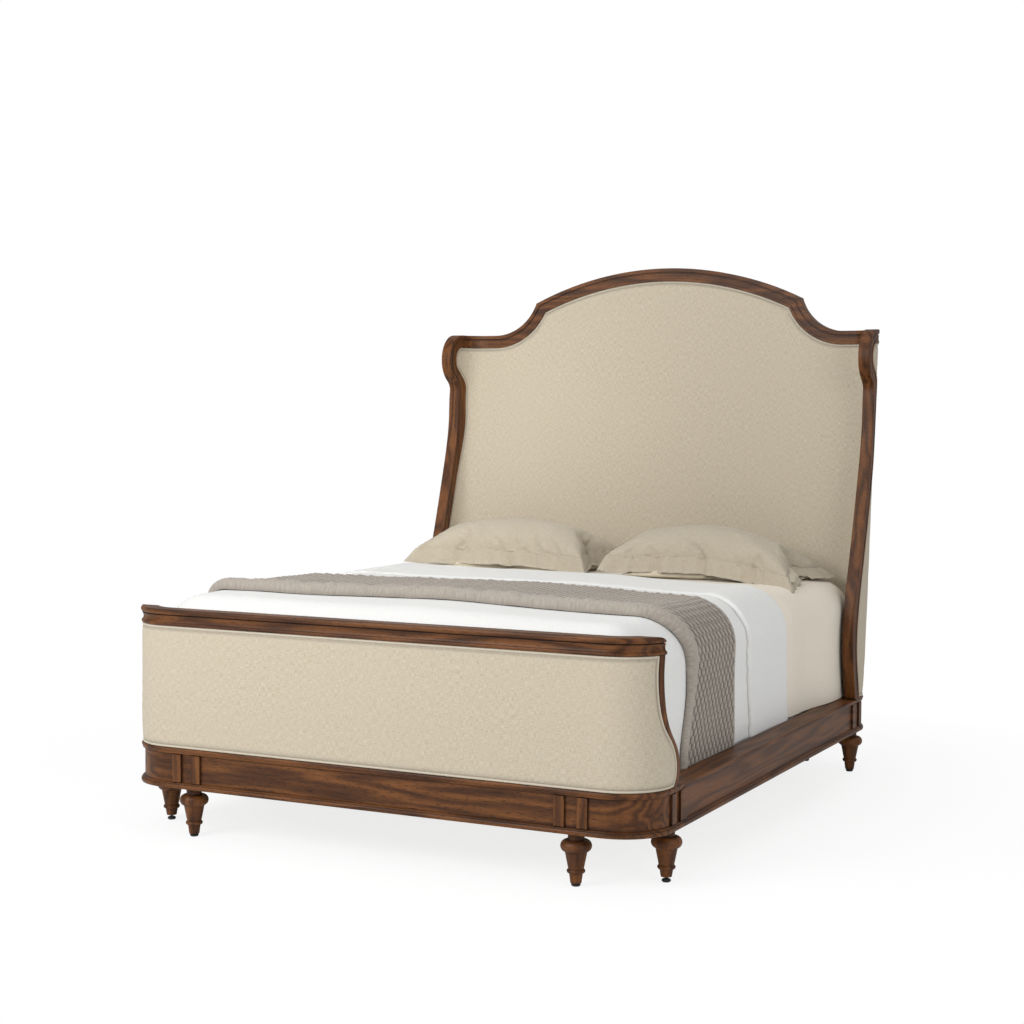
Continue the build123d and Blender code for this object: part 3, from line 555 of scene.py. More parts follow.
def cover(name, side, crown):
    """Stretches linen over a pad: side is the way its face looks, crown how far its middle stands out."""
    place, measure = walls[name]
    loop = outlines[name]
    right_low = int(np.argmax(loop[:, 0] - loop[:, 1]))
    right_top = int(np.argmax(loop[:, 0] + loop[:, 1]))
    left_top = int(np.argmax(loop[:, 1] - loop[:, 0]))
    closed = np.vstack([loop, loop[:1]])
    lower, right = closed[:right_low + 1], closed[right_low:right_top + 1]
    upper, left = closed[right_top:left_top + 1][::-1], closed[left_top:][::-1]
    long = np.linalg.norm(np.diff(lower, axis=0), axis=1).sum()
    tall = np.linalg.norm(np.diff(right, axis=0), axis=1).sum()
    s, t = eased(long), eased(tall)
    low, top, lef, rig = walk(lower, s), walk(upper, s), walk(left, t), walk(right, t)
    S, T = s[None, :, None], t[:, None, None]
    flat = ((1 - T) * low + T * top + (1 - S) * lef[:, None] + S * rig[:, None]
            - (1 - S) * (1 - T) * low[0] - S * (1 - T) * low[-1] - (1 - S) * T * top[0] - S * T * top[-1])
    depth = off_border(flat.reshape(-1, 2), loop).reshape(flat.shape[:2])
    swell = 1 - (1 - np.clip(depth / crown_width, 0, 1)) ** 2
    off = side * (-tuck + roll_rise * rounded(depth, roll_width) + crown * swell)
    bm = cloth_grid(place(flat[..., 0], flat[..., 1], off), flat)
    # painted shade along the welt's stitched groove
    seam_shade = bm.verts.layers.float.new("seam_shade")
    for vert, inside in zip(bm.verts, depth.ravel()):
        vert[seam_shade] = welt_stitch_shade * max(0.0, 1.0 - abs(inside - stitch_in) / stitch_width)
    bm.faces.ensure_lookup_table()
    middle = bm.faces[len(bm.faces) // 2]
    middle.normal_update()
    _, _, here = measure(np.array([middle.calc_center_median()]))
    _, _, ahead = measure(np.array([middle.calc_center_median() + middle.normal * 0.01]))
    if (ahead - here)[0] * side < 0:
        bmesh.ops.reverse_faces(bm, faces=bm.faces)
    made = piece(name + "_linen", bm, linen, "frame", (name,))
    thicken(made, "cloth_and_wadding", wadding)
    return made


# the way each show face looks, and its crown
show_faces = {
    "headboard_front_upholstery": (-1, 0.007),
    "headboard_back_upholstery": (1, 0.004),
    "footboard_outer_upholstery": (1, 0.006),
    "footboard_inner_upholstery": (-1, 0.004),
}
covers = [cover(name, side, crown) for name, (side, crown) in show_faces.items()]
print([len(c.data.polygons) for c in covers], "faces in the covers")

# %% [markdown]
# ## Piping
# A thin cord covered in the same linen is sewn along every border, where the cloth meets the wood. It follows
# the border line that was just read, a few millimetres inside it.

# %% Piping along the covers
cord_radius, cord_in, cord_off, cord_pitch = 0.0036, 0.0040, 0.0005, 0.008


def inset_loop(loop, by):
    """An outline moved inwards by a distance, with its points evened out."""
    closed = np.vstack([loop, loop[:1]])
    length = np.linalg.norm(np.diff(closed, axis=0), axis=1).sum()
    even = walk(closed, np.linspace(0, 1, int(length / cord_pitch), endpoint=False))
    ahead = np.roll(even, -1, axis=0) - np.roll(even, 1, axis=0)
    ahead /= np.linalg.norm(ahead, axis=1)[:, None]
    return even + by * np.stack([-ahead[:, 1], ahead[:, 0]], -1)


for name, (side, _) in show_faces.items():
    run = inset_loop(outlines[name], cord_in)
    path = walls[name][0](run[:, 0], run[:, 1], np.full(len(run), side * cord_off))
    cord(name.replace("upholstery", "piping"), path, cord_radius, piping, "frame")
print("piping sewn on", len(walls), "covers")

# %% [markdown]
# ## Bedclothes
# Sheet, duvet and throw all lie over one box with rounded edges, the made-up mattress. A flat cloth goes over
# such a box by running across the top, rolling over the edge and hanging straight, and at a corner the roll
# is part of a ball. So one function takes a cloth's own flat measures, across and along, and how far it
# stands off, and says where that point of the cloth is. Every cloth is then a grid, and folds, puffs and
# quilting are only changes of how far it stands off.

# %% The made-up mattress as a form for cloth
def bed_form(half, top, foot, head, radius, head_radius=None):
    """Places a cloth's points over a box; radius(along) tells how round the box's long edges are."""
    start = radius(foot)
    end = head_radius or start

    def place(across, along, off):
        s = np.abs(across)
        side = radius(along)
        over = along > (foot + head) / 2
        past = np.where(over, along - (head - end), (foot + start) - along)
        bend = np.where(over, end, start)
        a = np.clip((s - half + side) / (side * math.pi / 2), 0, 1)
        b = np.clip(past / (bend * math.pi / 2), 0, 1)
        fall = np.maximum(s - half + side * (1 - math.pi / 2), 0) + np.maximum(past - bend * math.pi / 2, 0)
        p, q = a * np.sqrt(1 - b * b / 2), b * np.sqrt(1 - a * a / 2)
        turn = np.clip(np.hypot(p, q), 0, 1) * math.pi / 2
        way = np.arctan2(q, np.maximum(p, 1e-12))
        x = np.minimum(s, half - side) + (side + off) * np.sin(turn) * np.cos(way)
        y = np.clip(along, foot + start, head - end)
        y = y + np.where(over, 1, -1) * (bend + off) * np.sin(turn) * np.sin(way)
        z = top - side + (side + off) * np.cos(turn) - fall
        return np.stack([np.sign(across) * x, y, z], -1)

    return place


# %% Waves, steps and corners
def rough(across, along, size, seed):
    """Slow random waves, from -1 to 1, of about one size in metres."""
    waves = [noise.noise((a / size, b / size, seed)) for a, b in zip(across.ravel(), along.ravel())]
    return np.array(waves).reshape(across.shape)


def ease(value, start, end):
    """A smooth step from 0 to 1."""
    t = np.clip((value - start) / (end - start), 0, 1)
    return t * t * (3 - 2 * t)


def face_up(bm):
    """Turns a cloth's faces over if its highest one looks down."""
    if max(bm.faces, key=lambda face: face.calc_center_median().z).normal.z < 0:
        bmesh.ops.reverse_faces(bm, faces=bm.faces)


corner_weld = 0.0008


def without_corners(bm, flat, half, ends):
    """Cuts away the squares of cloth that a tailored corner doesn't have, and closes the corner seams."""
    measures = flat.reshape(-1, 2)
    spare = []
    for face in bm.faces:
        s, t = np.mean([measures[v.index] for v in face.verts], axis=0)
        if abs(s) > half and not ends[0] < t < ends[1]:
            spare.append(face)
    bmesh.ops.delete(bm, geom=spare, context="FACES")
    bmesh.ops.remove_doubles(bm, verts=bm.verts, dist=corner_weld)
    bmesh.ops.recalc_face_normals(bm, faces=bm.faces)
    face_up(bm)


print("bed form ready")

# %% [markdown]
# ## Cotton
# Two cottons show on the mattress: crisp white percale on the duvet and a cream sateen sheet. They use the
# same weave recipe as the linen, flatter and closer in tone, with a slow crush in the relief where the cloth
# has been slept on and smoothed by hand.

# %% Cotton finishes
percale = woven("white_percale", "#e3e3e1", "#dddddb", "#dcdcda", 2.0, 0.0002, 0.1, crush=0.004)
sateen = woven("cream_sateen", "#e6decf", "#dfd6c7", "#dcd3c4", 2.0, 0.0002, 0.1, crush=0.003)
print("cotton:", percale.name, sateen.name)

# %% [markdown]
# ## The sheet
# A fitted sheet wraps the mattress down to the rail, and only the strip between duvet and wings shows. It is
# pulled smooth on top, hangs in shallow upright folds that fade in below the edge, and stands out a little
# where no duvet presses it in.

# %% Where the sheet lies
foot, head = -1.0695, 0.9340
half, top, radius, head_radius = 0.7645, 0.6912, 0.110, 0.012
sheet_low, sheet_off = 0.2738, 0.0005
arc, head_arc = radius * math.pi / 2, head_radius * math.pi / 2
side_edge = half - radius + arc
hang = top - radius - sheet_low
sheet_half = side_edge + hang
start, stop = foot + radius - arc, head - head_radius + head_arc
sheet_form = bed_form(half, top, foot, head, lambda along: radius, head_radius)
print("the sheet hangs", round(hang, 3), "m")

# %% Cream sheet
sheet_columns, hang_rows, top_rows = 141, 20, 125
s = np.linspace(-sheet_half, sheet_half, sheet_columns)
t = np.concatenate([np.linspace(start - hang, start, hang_rows)[:-1],
                    np.linspace(start, stop, top_rows),
                    np.linspace(stop, stop + hang, hang_rows)[1:]])
across, along = np.meshgrid(s, t)
hanging = ease(np.abs(across), side_edge, sheet_half)
off = 0.0025 * rough(along, across * 0.12, 0.07, 3.0) * hanging + 0.001 * rough(across, along, 0.25, 1.0)
# no duvet presses the side in between its fold and the pillows, and it is tucked in again behind them
loose = 0.027 * ease(along, 0.20, 0.31) + 0.028 * ease(along, 0.42, 0.70)
loose = loose * (1 - ease(along, 0.86, 0.915))
off = off + loose * ease(np.abs(across), half - radius, side_edge)
flat = np.stack([across, along], -1)
bm = cloth_grid(sheet_form(across, along, off + sheet_off), flat)
without_corners(bm, flat, side_edge, (start, stop))
sheet = piece("sheet_cotton", bm, sateen, "mattress", ("sheet",))

# %% [markdown]
# ## The duvet
# The duvet lies loose over the sheet, tucked in at the foot and hanging inside the rails. Near the pillows
# its top is turned back: the turned part makes a thicker band that ends in a puckered seam, and the fold
# itself is a soft roll down onto the sheet. Rows of the grid are set close together at the seam, so that it
# can pinch.

# %% Where the duvet lies
duvet_half, duvet_top, duvet_foot, duvet_radius, duvet_low = 0.7645, 0.6915, -1.0690, 0.092, 0.264
past_head = 9.0
duvet_arc = duvet_radius * math.pi / 2
duvet_edge = duvet_half - duvet_radius
duvet_hang = duvet_top - duvet_radius - duvet_low
duvet_reach = duvet_edge + duvet_arc + duvet_hang
seam, fold = -0.130, 0.258


def shoulder(along):
    """How round the duvet rolls over the side: tight by the footboard, slacker to the pillows."""
    return duvet_radius + 0.045 * ease(along, -0.90, 0.26)


duvet_form = bed_form(duvet_half, duvet_top, duvet_foot, past_head, shoulder)


def hemmed(across, along):
    """Shortens a row of cloth where its roll is slacker, so that the hem hangs level."""
    return across * (1 - (2 - math.pi / 2) * (shoulder(along) - duvet_radius) / duvet_reach)


def seam_line(across):
    """Where the turned-back end is sewn, along the bed: it wanders a little from side to side."""
    s = np.abs(across)
    return seam + 0.018 * np.sin(across * 2.1 + 0.6) - 0.02 * ease(s, 0.55, 0.80) + 0.03 * ease(s, 0.85, 1.1)


print("the duvet is", round(2 * duvet_reach, 2), "m wide")


# %% How the duvet puffs up
def duvet_puff(across, along):
    """How far the duvet stands off the sheet: loft, slow waves, hanging folds and the turned-back band."""
    hung = ease(np.abs(across), duvet_edge + 0.5 * duvet_arc, duvet_reach)
    dome = 0.019 + 0.016 * (1 - ease(across, 0.08, 0.62))
    dome = dome + 0.007 * ease(-across, 0.3, 0.62) * ease(along, -0.5, 0.2)
    loft = dome * (1 - hung) + 0.023 * hung
    loft = loft + 0.0045 * rough(across, along, 0.42, 5.0) + 0.002 * rough(across, along, 0.16, 8.0)
    loft = loft + 0.004 * hung * rough(along, across * 0.25, 0.15, 11.0)
    past = along - seam_line(across)
    near = np.exp(-np.abs(past) / 0.03)
    round_side = ease(np.abs(across), duvet_edge - 0.12, duvet_edge + 0.3 * duvet_arc)
    band = (0.005 + 0.004 * round_side) * ease(past, -0.001, 0.020)
    pinch = -(0.004 + 0.006 * round_side) * np.exp(-(past / 0.0045) ** 2)
    pucker = (0.0015 + 0.0045 * round_side) * near * rough(across, along * 0.25, 0.024, 17.0)
    return loft + band + pinch + pucker


# %% Rows of the duvet
foot_tuck, near_seam, lip_start = 0.16, 0.04, fold - 0.03
duvet_columns, tuck_rows, body_rows, seam_rows, band_rows, lip_rows = 199, 13, 72, 41, 28, 12
begin = duvet_foot + duvet_radius - duvet_arc
s = np.linspace(-duvet_reach, duvet_reach, duvet_columns)
t = np.concatenate([np.linspace(begin - foot_tuck, begin, tuck_rows)[:-1],
                    np.linspace(begin, seam - near_seam, body_rows)[:-1],
                    np.linspace(seam - near_seam, seam + near_seam, seam_rows)[:-1],
                    np.linspace(seam + near_seam, lip_start, band_rows)])
across, along = np.meshgrid(s, t)
# rows near the seam wander with it
with_seam = ease(along, seam - 0.30, seam - near_seam) * (1 - ease(along, seam + near_seam, lip_start))
along = along + (seam_line(across) - seam) * with_seam
across = hemmed(across, along)
off = duvet_puff(across, along)
# the fold: rows that go on round a half circle, from the band's face down to the sheet
rounds = np.linspace(0, math.pi, lip_rows)[1:]
lip = np.repeat(hemmed(s, fold)[None, :], len(rounds), 0)
last = duvet_puff(lip[:1], np.full_like(lip[:1], lip_start))
swell = np.minimum(last / 2, 0.02)
lip_along = lip_start + 1.6 * swell * np.sin(rounds)[:, None] + 0.006 * rough(lip, lip * 0, 0.3, 23.0)
lip_off = last - swell * (1 - np.cos(rounds))[:, None]
across, along, off = np.vstack([across, lip]), np.vstack([along, lip_along]), np.vstack([off, lip_off])
print("the duvet has", across.shape, "rows and columns")

# %% White duvet
seam_width, duvet_wadding = 0.006, 0.006
flat = np.stack([across, along], -1)
bm = cloth_grid(duvet_form(across, along, off), flat)
# painted shadow along the seam, where the edge of the turned-back band would shade the cloth
seam_shade = bm.verts.layers.float.new("seam_shade")
for vert, past in zip(bm.verts, (along - seam_line(across)).ravel()):
    vert[seam_shade] = max(0.0, 1.0 - abs(past) / seam_width)
without_corners(bm, flat, duvet_edge + duvet_arc, (begin, past_head))
duvet = piece("duvet_cotton", bm, percale, "mattress", ("duvet",))
thicken(duvet, "cover_and_filling", duvet_wadding)
print("duvet", len(duvet.data.polygons), "faces")

# %% [markdown]
# ## The quilted throw
# A taupe coverlet lies across the foot third of the bed. It is machine quilted in a lattice of small
# diamonds, has a plain ribbed border, and its near edge is a thick soft fold. It lies on the duvet, so its
# grid stands off by the duvet's own puff plus its thickness, and each diamond is a low cushion between
# stitched lines. The diamonds are 31 mm long and 42 mm wide, so the grid has a point every 6 mm. The mesh
# marks the low valleys along the stitched lines, and the finish paints shade into them as dark lines.

# %% Taupe quilting
def quilted(name, base, dark, pale, rib):
    """A quilted cotton: ribs, so many mm wide, across the yarn, and painted shade along the stitched valleys.
    """
    made, tree, shader = material(name, Roughness=0.92, Specular_IOR_Level=0.2, Sheen_Weight=0.15,
                                  Sheen_Roughness=0.5)
    layout = node(tree, "ShaderNodeUVMap", uv_map="cloth").outputs[0]
    ribs = speckle(tree, scaled(tree, layout, (mm_in_m / rib, 90.0, 1.0)), 1.0, 3.0)
    cloth = mixed(tree, ranged(tree, ribs, 0.3, 0.7), base, pale)
    # painted shade in the stitched valleys, read from the mesh
    low = node(tree, "ShaderNodeAttribute", attribute_name="quilt_shade", attribute_type="GEOMETRY")
    cloth = mixed(tree, sums(tree, "MULTIPLY", low.outputs["Fac"], 0.9), cloth, dark)
    coat(tree, shader, cloth, bumped(tree, ribs, 0.45, 0.0015))
    return made


# the dark tone is the painted shade of the stitched valleys
taupe = quilted("taupe_quilted_cotton", "#989086", "#453e36", "#aea59b", 4.0)
print("quilting:", taupe.name)

# %% Where the throw lies
near_edge, far_edge = -0.800, -0.255
throw_reach = duvet_reach - 0.001
throw_columns, throw_rows = 391, 91
s = np.linspace(-throw_reach, throw_reach, throw_columns)
t = np.linspace(0.0, 1.0, throw_rows)
share, across = np.meshgrid(t, s, indexing="ij")
aside = np.abs(across)
hung = ease(aside, duvet_edge + 0.3 * duvet_arc, duvet_edge + duvet_arc + 0.2)
# its ends slip towards the pillows on the shoulders, and its left end lies nearer the foot
slip = 0.125 * ease(aside, 0.66, 0.86) - 0.045 * ease(aside, 0.90, 1.12)
skew = -0.08 * ease(-across, -0.1, 0.70)
start = near_edge + slip + skew + 0.008 * rough(across, across * 0, 0.25, 31.0)
stop = far_edge - 0.020 * hung + skew + 0.006 * rough(across, across * 0, 0.30, 37.0)
along = start + share * (stop - start)
inward = along - start
outward = stop - along
print("the throw has", across.shape, "rows and columns")

# %% Quilting, hem and fold
diamond, slant = 0.042, 1.35
rows_up = np.sin(math.pi * (across + slant * inward) / diamond)
rows_down = np.sin(math.pi * (across - slant * inward) / diamond)
cushion = np.abs(rows_up * rows_down)
hem = 0.084 - 0.040 * hung
field = ease(inward, hem - 0.014, hem) * ease(outward, 0.016, 0.026)
quilt = (0.0085 - 0.002 * hung) * np.sqrt(cushion) * field
edge_rib = np.abs(np.sin(math.pi * across / 0.011 + 2.0 * rough(across, inward, 0.05, 41.0)))
edge_rib = 0.0015 * edge_rib * (1 - field)
flat_top = 1 - 0.6 * hung
fold_roll = rounded(inward, 0.030)
fold_puff = (0.014 + 0.019 * flat_top) * fold_roll * (1 - 0.75 * ease(inward, hem - 0.044, hem + 0.006))
# small gathers along the fold, on top of the bed only
gathers = rough(across - 0.4 * inward, inward, 0.05, 53.0)
gathers = gathers - 1.6 * np.abs(rough(across + 0.5 * inward, inward * 0.3, 0.034, 47.0))
on_top = (1 - ease(aside, 0.50, 0.68)) * (1 - ease(inward, 0.055, 0.090))
fold_puff = fold_puff + 0.007 * (gathers + 0.4) * fold_roll * on_top
body_lift = (0.002 + fold_puff) * (0.25 + 0.75 * rounded(outward, 0.008))
print("the fold is up to", round(float(fold_puff.max()), 3), "m thick")

# %% Throw across the bed
line_level, line_slope, throw_wadding, fold_take = 1.12, 0.5, 0.003, 0.03
across = hemmed(across, along)
off = duvet_puff(across, along) + body_lift + quilt + edge_rib + 0.0015 * rough(across, along, 0.09, 43.0)
flat = np.stack([across, along], -1)
bm = cloth_grid(duvet_form(across, along, off), flat)
quilt_shade_layer = bm.verts.layers.float.new("quilt_shade")
# the lower the cushion, the more painted shade, along the stitched valleys
valley_shade = (field * np.clip(line_level - cushion / line_slope, 0, 1)).ravel()
for vert, value in zip(bm.verts, valley_shade):
    vert[quilt_shade_layer] = value
bm.normal_update()
face_up(bm)
throw = piece("throw_quilt", bm, taupe, "mattress", ("throw",))
thicken(throw, "wadding", throw_wadding)

# %% [markdown]
# ## Pillows
# Each side has a cream sleeping pillow under a linen sham with a flange, a flat border sewn all round. A real
# pillow is two flat pieces of cloth sewn at the edge and stuffed, and its puckers come from that, so this one
# is made the same way: two grids welded along the seam and blown up by the cloth simulation. Then it is
# pressed flat underneath, leaned on the pillow below, and the flange is extruded from the seam and let droop.

# %% Pillow cloth
sham_linen = woven("taupe_washed_linen", "#b9b09f", "#aca18e", "#aba18e", 2.4, 0.0005, 0.15, crush=0.009)
pillow_cotton = woven("cream_pillow_cotton", "#cfc5b1", "#c7bda8", "#c5bba6", 2.0, 0.0003, 0.1, crush=0.004)
print("pillow cloth:", sham_linen.name, pillow_cotton.name)


# %% Sew a pillow
blank_rise, blank_crumple, back_rise = 0.006, 0.0015, -0.6


def sewn_blank(width, depth, pitch, seed):
    """Two flat cloths with a little rise, welded along their border, which is marked as the seam."""
    columns, rows = int(width / pitch) + 1, int(depth / pitch) + 1
    x, y = np.meshgrid(np.linspace(-width / 2, width / 2, columns), np.linspace(-depth / 2, depth / 2, rows))
    rise = blank_rise * (1 - (2 * x / width) ** 4) * (1 - (2 * y / depth) ** 4)
    rise = rise + blank_crumple * rough(x, y, 0.05, seed)
    bm = cloth_grid(np.stack([x, y, rise], -1), np.stack([x, y], -1))
    back = bmesh.ops.duplicate(bm, geom=bm.verts[:] + bm.edges[:] + bm.faces[:])["geom"]
    under = [g for g in back if isinstance(g, bmesh.types.BMVert)]
    bmesh.ops.scale(bm, vec=(1.0, 1.0, back_rise), verts=under)
    bmesh.ops.reverse_faces(bm, faces=[g for g in back if isinstance(g, bmesh.types.BMFace)])
    tag = bm.verts.layers.float.new("seam")
    border_verts = [v for v in bm.verts if any(len(e.link_faces) == 1 for e in v.link_edges)]
    for vert in border_verts:
        vert.co.z = 0.0
        vert[tag] = 1.0
    bmesh.ops.remove_doubles(bm, verts=border_verts, dist=pitch * 0.2)
    bmesh.ops.recalc_face_normals(bm, faces=bm.faces)
    return bm


# %% Stuff a pillow
pillow_cloth = {"quality": 6, "mass": 0.25, "tension_stiffness": 18.0, "compression_stiffness": 18.0,
                "shear_stiffness": 6.0, "bending_stiffness": 0.35, "use_pressure": True,
                "uniform_pressure_force": 5.0, "air_damping": 4.0}
stuffing_frames = 22


def stuffed(width, depth, height, pitch, seed):
    """A sewn blank, blown up by the cloth simulation and brought to a height."""
    bm = sewn_blank(width, depth, pitch, seed)
    mesh = bpy.data.meshes.new("pillow_blank")
    bm.to_mesh(mesh)
    bm.free()
    blank = bpy.data.objects.new("pillow_blank", mesh)
    scene.collection.objects.link(blank)
    cloth = blank.modifiers.new("stuffing", "CLOTH")
    for setting, value in pillow_cloth.items():
        setattr(cloth.settings, setting, value)
    cloth.settings.effector_weights.gravity = 0.0
    cloth.point_cache.frame_start = 1
    cloth.point_cache.frame_end = stuffing_frames
    for step in range(1, stuffing_frames + 1):
        scene.frame_set(step)
    shaped = bpy.data.meshes.new_from_object(blank.evaluated_get(bpy.context.evaluated_depsgraph_get()))
    scene.frame_set(1)
    bpy.data.objects.remove(blank)
    bpy.data.meshes.remove(mesh)
    bm = bmesh.new()
    bm.from_mesh(shaped)
    bpy.data.meshes.remove(shaped)
    tall = max(v.co.z for v in bm.verts)
    bmesh.ops.scale(bm, vec=(1.0, 1.0, height / tall), verts=bm.verts)
    print("stuffed pillow of", len(bm.verts), "points rose to", round(tall, 3))
    return bm


# %% Lay a pillow on what carries it
flat_below, sky, above_carrier = -0.012, 2.0, 0.002


def settle(bm, centre, base, under, sink, carrier=None):
    """Presses a pillow flat underneath and lays it down; sink(x, y) lowers its ends, down to the carrier."""
    for vert in bm.verts:
        x, y, z = vert.co
        z = base + (z if z > 0 else max(z * under, flat_below)) - sink(x, y)
        place = Vector((centre[0] + x, centre[1] + y, z))
        if carrier:
            hit = carrier.ray_cast((place.x, place.y, sky), (0.0, 0.0, -1.0))[0]
            place.z = max(z, hit.z + above_carrier) if hit else z
        vert.co = place


# %% Droop of the flange
up_axis = Vector((0.0, 0.0, 1.0))
flange_width, flange_thick, flange_wave, flange_corner = 0.060, 0.0025, 0.024, 0.08
flange_steps = (0.08, 0.18, 0.24, 0.25, 0.25)
# degrees below level: at the back, how much more in front, and on the inner and outer sides
lie_back, hang_front, hang_inner, hang_outer = 8, 68, 66, 38


def droop(out, run, size, inner, seed):
    """How far the flange's outer edge lies from a point of the seam: its droop and its wave."""
    front = ease(-run.y, -0.2 * size[1], 0.5 * size[1])
    beside = hang_inner if out.x * inner > 0 else hang_outer
    ahead = lie_back + hang_front * front * (1 - 0.3 * abs(out.x))
    slope = math.radians(max(ahead, beside * abs(out.x)))
    around = run.x if abs(out.y) > abs(out.x) else run.y
    calm = 1.0 - min(abs(out.x), abs(out.y))
    long_seed = seed + 3.0 * round(out.x) + 7.0 * round(out.y)
    short_seed = seed + 5.0 * round(out.x) + 2.0 * round(out.y)
    wave = noise.noise((around / 0.050, long_seed, 0.0))
    wave += 0.5 * noise.noise((around / 0.024, short_seed, 4.0))
    fall = flange_width * (math.cos(slope) * out - math.sin(slope) * up_axis)
    ripple = flange_wave * calm * wave * (math.sin(slope) * out + math.cos(slope) * up_axis)
    return fall + ripple


# %% Sew the flange
def flange(bm, size, inner, seed):
    """Sews a flat border to the seam: it hangs in front and on the inner side, and lies flatter elsewhere."""
    tag = bm.verts.layers.float["seam"]
    layout = bm.loops.layers.uv["cloth"]
    rest = bm.verts.layers.float_vector.new("rest")
    outward = bm.verts.layers.float_vector.new("outward")
    ring = [e for e in bm.edges if all(v[tag] > 0.5 for v in e.verts)]
    seam_verts = {v for e in ring for v in e.verts}
    for vert in seam_verts:
        u, v = vert.link_loops[0][layout].uv
        vert[rest] = (u, v, 0.0)
        near = [max(1.0 - (s / 2 - abs(c)) / flange_corner, 0.0) ** 2 for c, s in zip((u, v), size)]
        vert[outward] = [math.copysign(n, c) for n, c in zip(near, (u, v))] + [0.0]
    sewn = bmesh.ops.duplicate(bm, geom=list(seam_verts) + ring)["geom"]
    edges = [g for g in sewn if isinstance(g, bmesh.types.BMEdge)]
    strip = []
    for step in flange_steps:
        grown = bmesh.ops.extrude_edge_only(bm, edges=edges)["geom"]
        fresh = {g for g in grown if isinstance(g, bmesh.types.BMVert)}
        edges = [g for g in grown if isinstance(g, bmesh.types.BMEdge) and all(v in fresh for v in g.verts)]
        strip += [g for g in grown if isinstance(g, bmesh.types.BMFace)]
        for vert in fresh:
            out, run = Vector(vert[outward]), Vector(vert[rest])
            vert.co += step * droop(out, run, size, inner, seed)
            vert[rest] = run + step * flange_width * out
    for face in strip:
        face.smooth = True
        for loop in face.loops:
            loop[layout].uv = Vector(loop.vert[rest]).xy
    bmesh.ops.solidify(bm, geom=strip, thickness=flange_thick)
    return len(strip)


# %% Gathers along the seam
def gather(bm, size, depth, seed):
    """Short pleats that run in from the seam, as where stuffing pushes against the sewn edge."""
    layout = bm.loops.layers.uv["cloth"]
    bm.normal_update()
    for vert in bm.verts:
        u, v = vert.link_loops[0][layout].uv
        from_ends, from_long = size[0] / 2 - abs(u), size[1] / 2 - abs(v)
        near, run = (from_long, u) if from_long < from_ends else (from_ends, v)
        pleat = noise.noise((run / 0.020, near / 0.15, seed))
        pleat += 0.6 * noise.noise((run / 0.045, near / 0.2, seed + 7.0))
        vert.co += vert.normal * float(depth * pleat * math.exp(-near / 0.065) * ease(near, 0.0, 0.02))


# %% Four pillows
under_size, under_rise, under_pitch = (0.70, 0.43), 0.064, 0.014
under_aside, under_along, under_base, under_flat = 0.406, 0.702, 0.7040, 0.35
sham_size, sham_rise, sham_pitch, pleat_depth = (0.735, 0.40), 0.104, 0.0095, 0.0075
sham_along, sham_base, sham_flat = 0.676, 0.7790, 0.30
under_seed, sham_seed, pleat_seed = 51.0, 61.0, 71.0
# each sham's middle, and how it sinks to the front and to one end
shams = {
    "left": (-0.424, lambda x, y: 0.010 * ease(-y, -0.02, 0.20) + 0.012 * ease(x, 0.05, 0.36)),
    "right": (0.364, lambda x, y: 0.008 * ease(-y, -0.02, 0.20) + 0.050 * ease(x, -0.02, 0.42)),
}
for name, side in (("left", -1), ("right", 1)):
    below, above = "under_pillow_" + name, "pillow_" + name
    under = stuffed(*under_size, under_rise, under_pitch, under_seed + side)
    settle(under, (side * under_aside, under_along), under_base, under_flat, lambda x, y: 0.0)
    carrier = bvhtree.BVHTree.FromBMesh(under)
    made = piece(below + "_cotton", under, pillow_cotton, below, (below,))
    middle, sink = shams[name]
    sham = stuffed(*sham_size, sham_rise, sham_pitch, sham_seed + side)
    gather(sham, sham_size, pleat_depth, pleat_seed + side)
    settle(sham, (middle, sham_along), sham_base, sham_flat, sink, carrier)
    sewn = flange(sham, sham_size, -side, sham_seed + side)
    made = piece(above + "_sham", sham, sham_linen, above, (above,))
    print(name, "sham has", sewn, "faces of flange and reaches", [round(c, 3) for c in made.dimensions])

# %% [markdown]
# ## Mattress and foundation
# Under the bedclothes lie a spring mattress and its box foundation, both covered in woven ticking with a
# taped edge. They show only when the bed is unmade. Each is a block of padding, so it starts as a box with
# the plain node's own measures: first its upright corners are bevelled, then the edges round its top and
# bottom, and the tape is a cord laid along those rounded edges.

# %% Ticking
ticking = woven("woven_ticking", "#ddd8cc", "#cfc9bb", "#d4cec1", 3.0, 0.0005, 0.1)
print("ticking:", ticking.name)

# %% Padded blocks with a taped edge
block_clear, tape_radius = 0.0006, 0.004


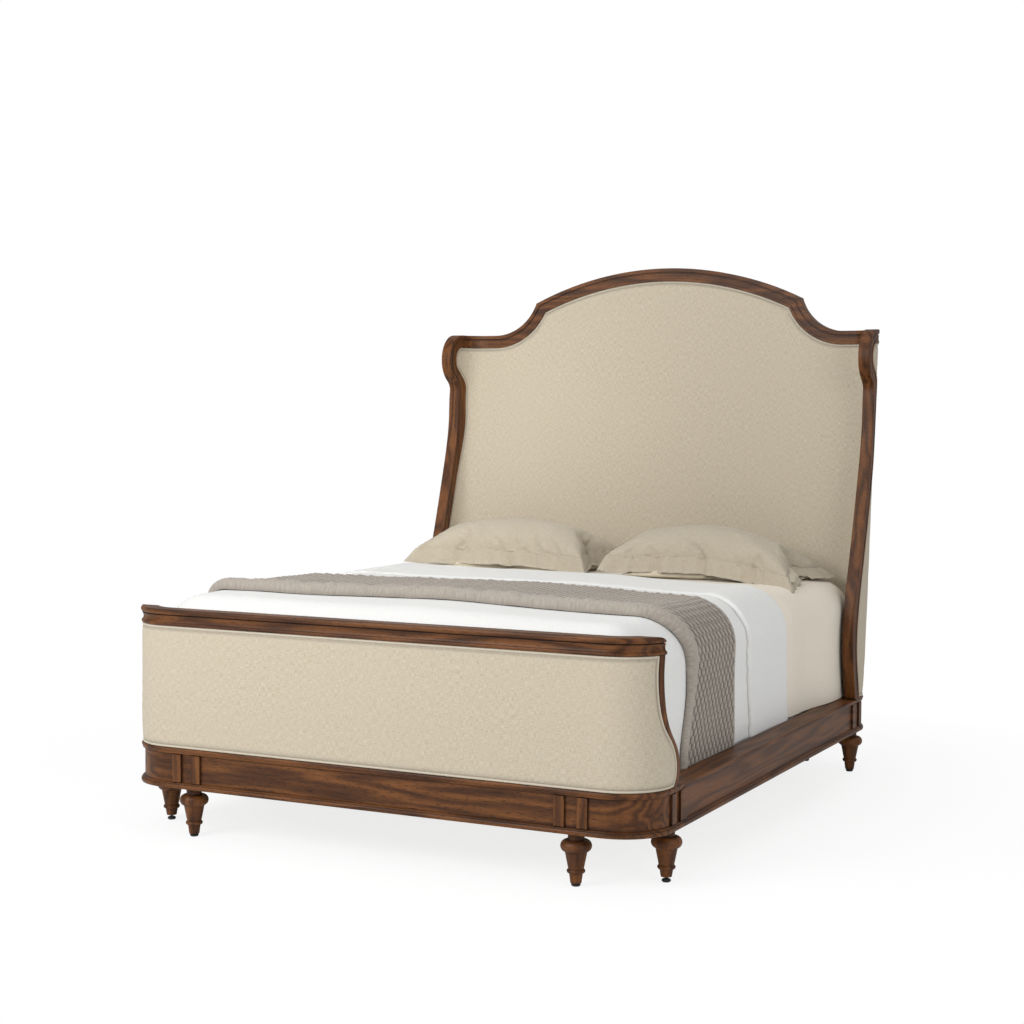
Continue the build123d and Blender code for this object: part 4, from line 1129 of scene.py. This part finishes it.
def block(name, corner, edge):
    """A block of padding in the place of a plain node, with its faces laid out for the weave."""
    corners = np.array([nodes[name].matrix_world @ Vector(c) for c in nodes[name].bound_box])
    low, high = corners.min(0) + block_clear, corners.max(0) - block_clear
    bm = bmesh.new()
    bmesh.ops.create_cube(bm, size=1.0)
    bmesh.ops.scale(bm, vec=high - low, verts=bm.verts)
    bmesh.ops.translate(bm, vec=(low + high) / 2, verts=bm.verts)
    upright = [e for e in bm.edges if abs(e.verts[0].co.z - e.verts[1].co.z) > 0.01]
    bmesh.ops.bevel(bm, geom=upright, offset=corner, segments=10, profile=0.5, affect="EDGES")
    rims = [e for e in bm.edges if {round(abs(f.normal.z)) for f in e.link_faces} == {0, 1}]
    bmesh.ops.bevel(bm, geom=rims, offset=edge, segments=6, profile=0.5, affect="EDGES")
    bm.normal_update()
    layout = bm.loops.layers.uv.new("cloth")
    for face in bm.faces:
        a, b = sorted(range(3), key=lambda axis: abs(face.normal[axis]))[:2]
        for loop in face.loops:
            loop[layout].uv = (loop.vert.co[a], loop.vert.co[b])
    return bm, low, high


def taped_edge(low, high, corner, inset, height):
    """The line half way round a block's rounded top or bottom edge."""
    bend = corner - inset
    near, far = low + corner, high - corner
    centres = ((far[0], far[1]), (near[0], far[1]), (near[0], near[1]), (far[0], near[1]))
    line = []
    for quarter, (x, y) in enumerate(centres):
        angles = np.linspace(0, math.pi / 2, 9) + quarter * math.pi / 2
        line += [(x + bend * math.cos(a), y + bend * math.sin(a), height) for a in angles]
    return np.array(line)


# %% Mattress and foundation
# how round each block's upright corners and its edges are, and which edges have tape
blocks = {"mattress": (0.120, 0.107, ("bottom",)), "foundation": (0.050, 0.018, ("top", "bottom"))}
for name, (corner, edge, rims) in blocks.items():
    bm, low, high = block(name, corner, edge)
    made = piece(name + "_ticking", bm, ticking, name, (name,))
    inset = edge * (1 - math.sqrt(0.5))
    for rim in rims:
        height = high[2] - inset if rim == "top" else low[2] + inset
        path = taped_edge(low, high, corner, inset, height)
        cord(name + "_tape_" + rim, path, tape_radius, ticking, name)
    print(name, "block", [round(float(v), 3) for v in high - low])
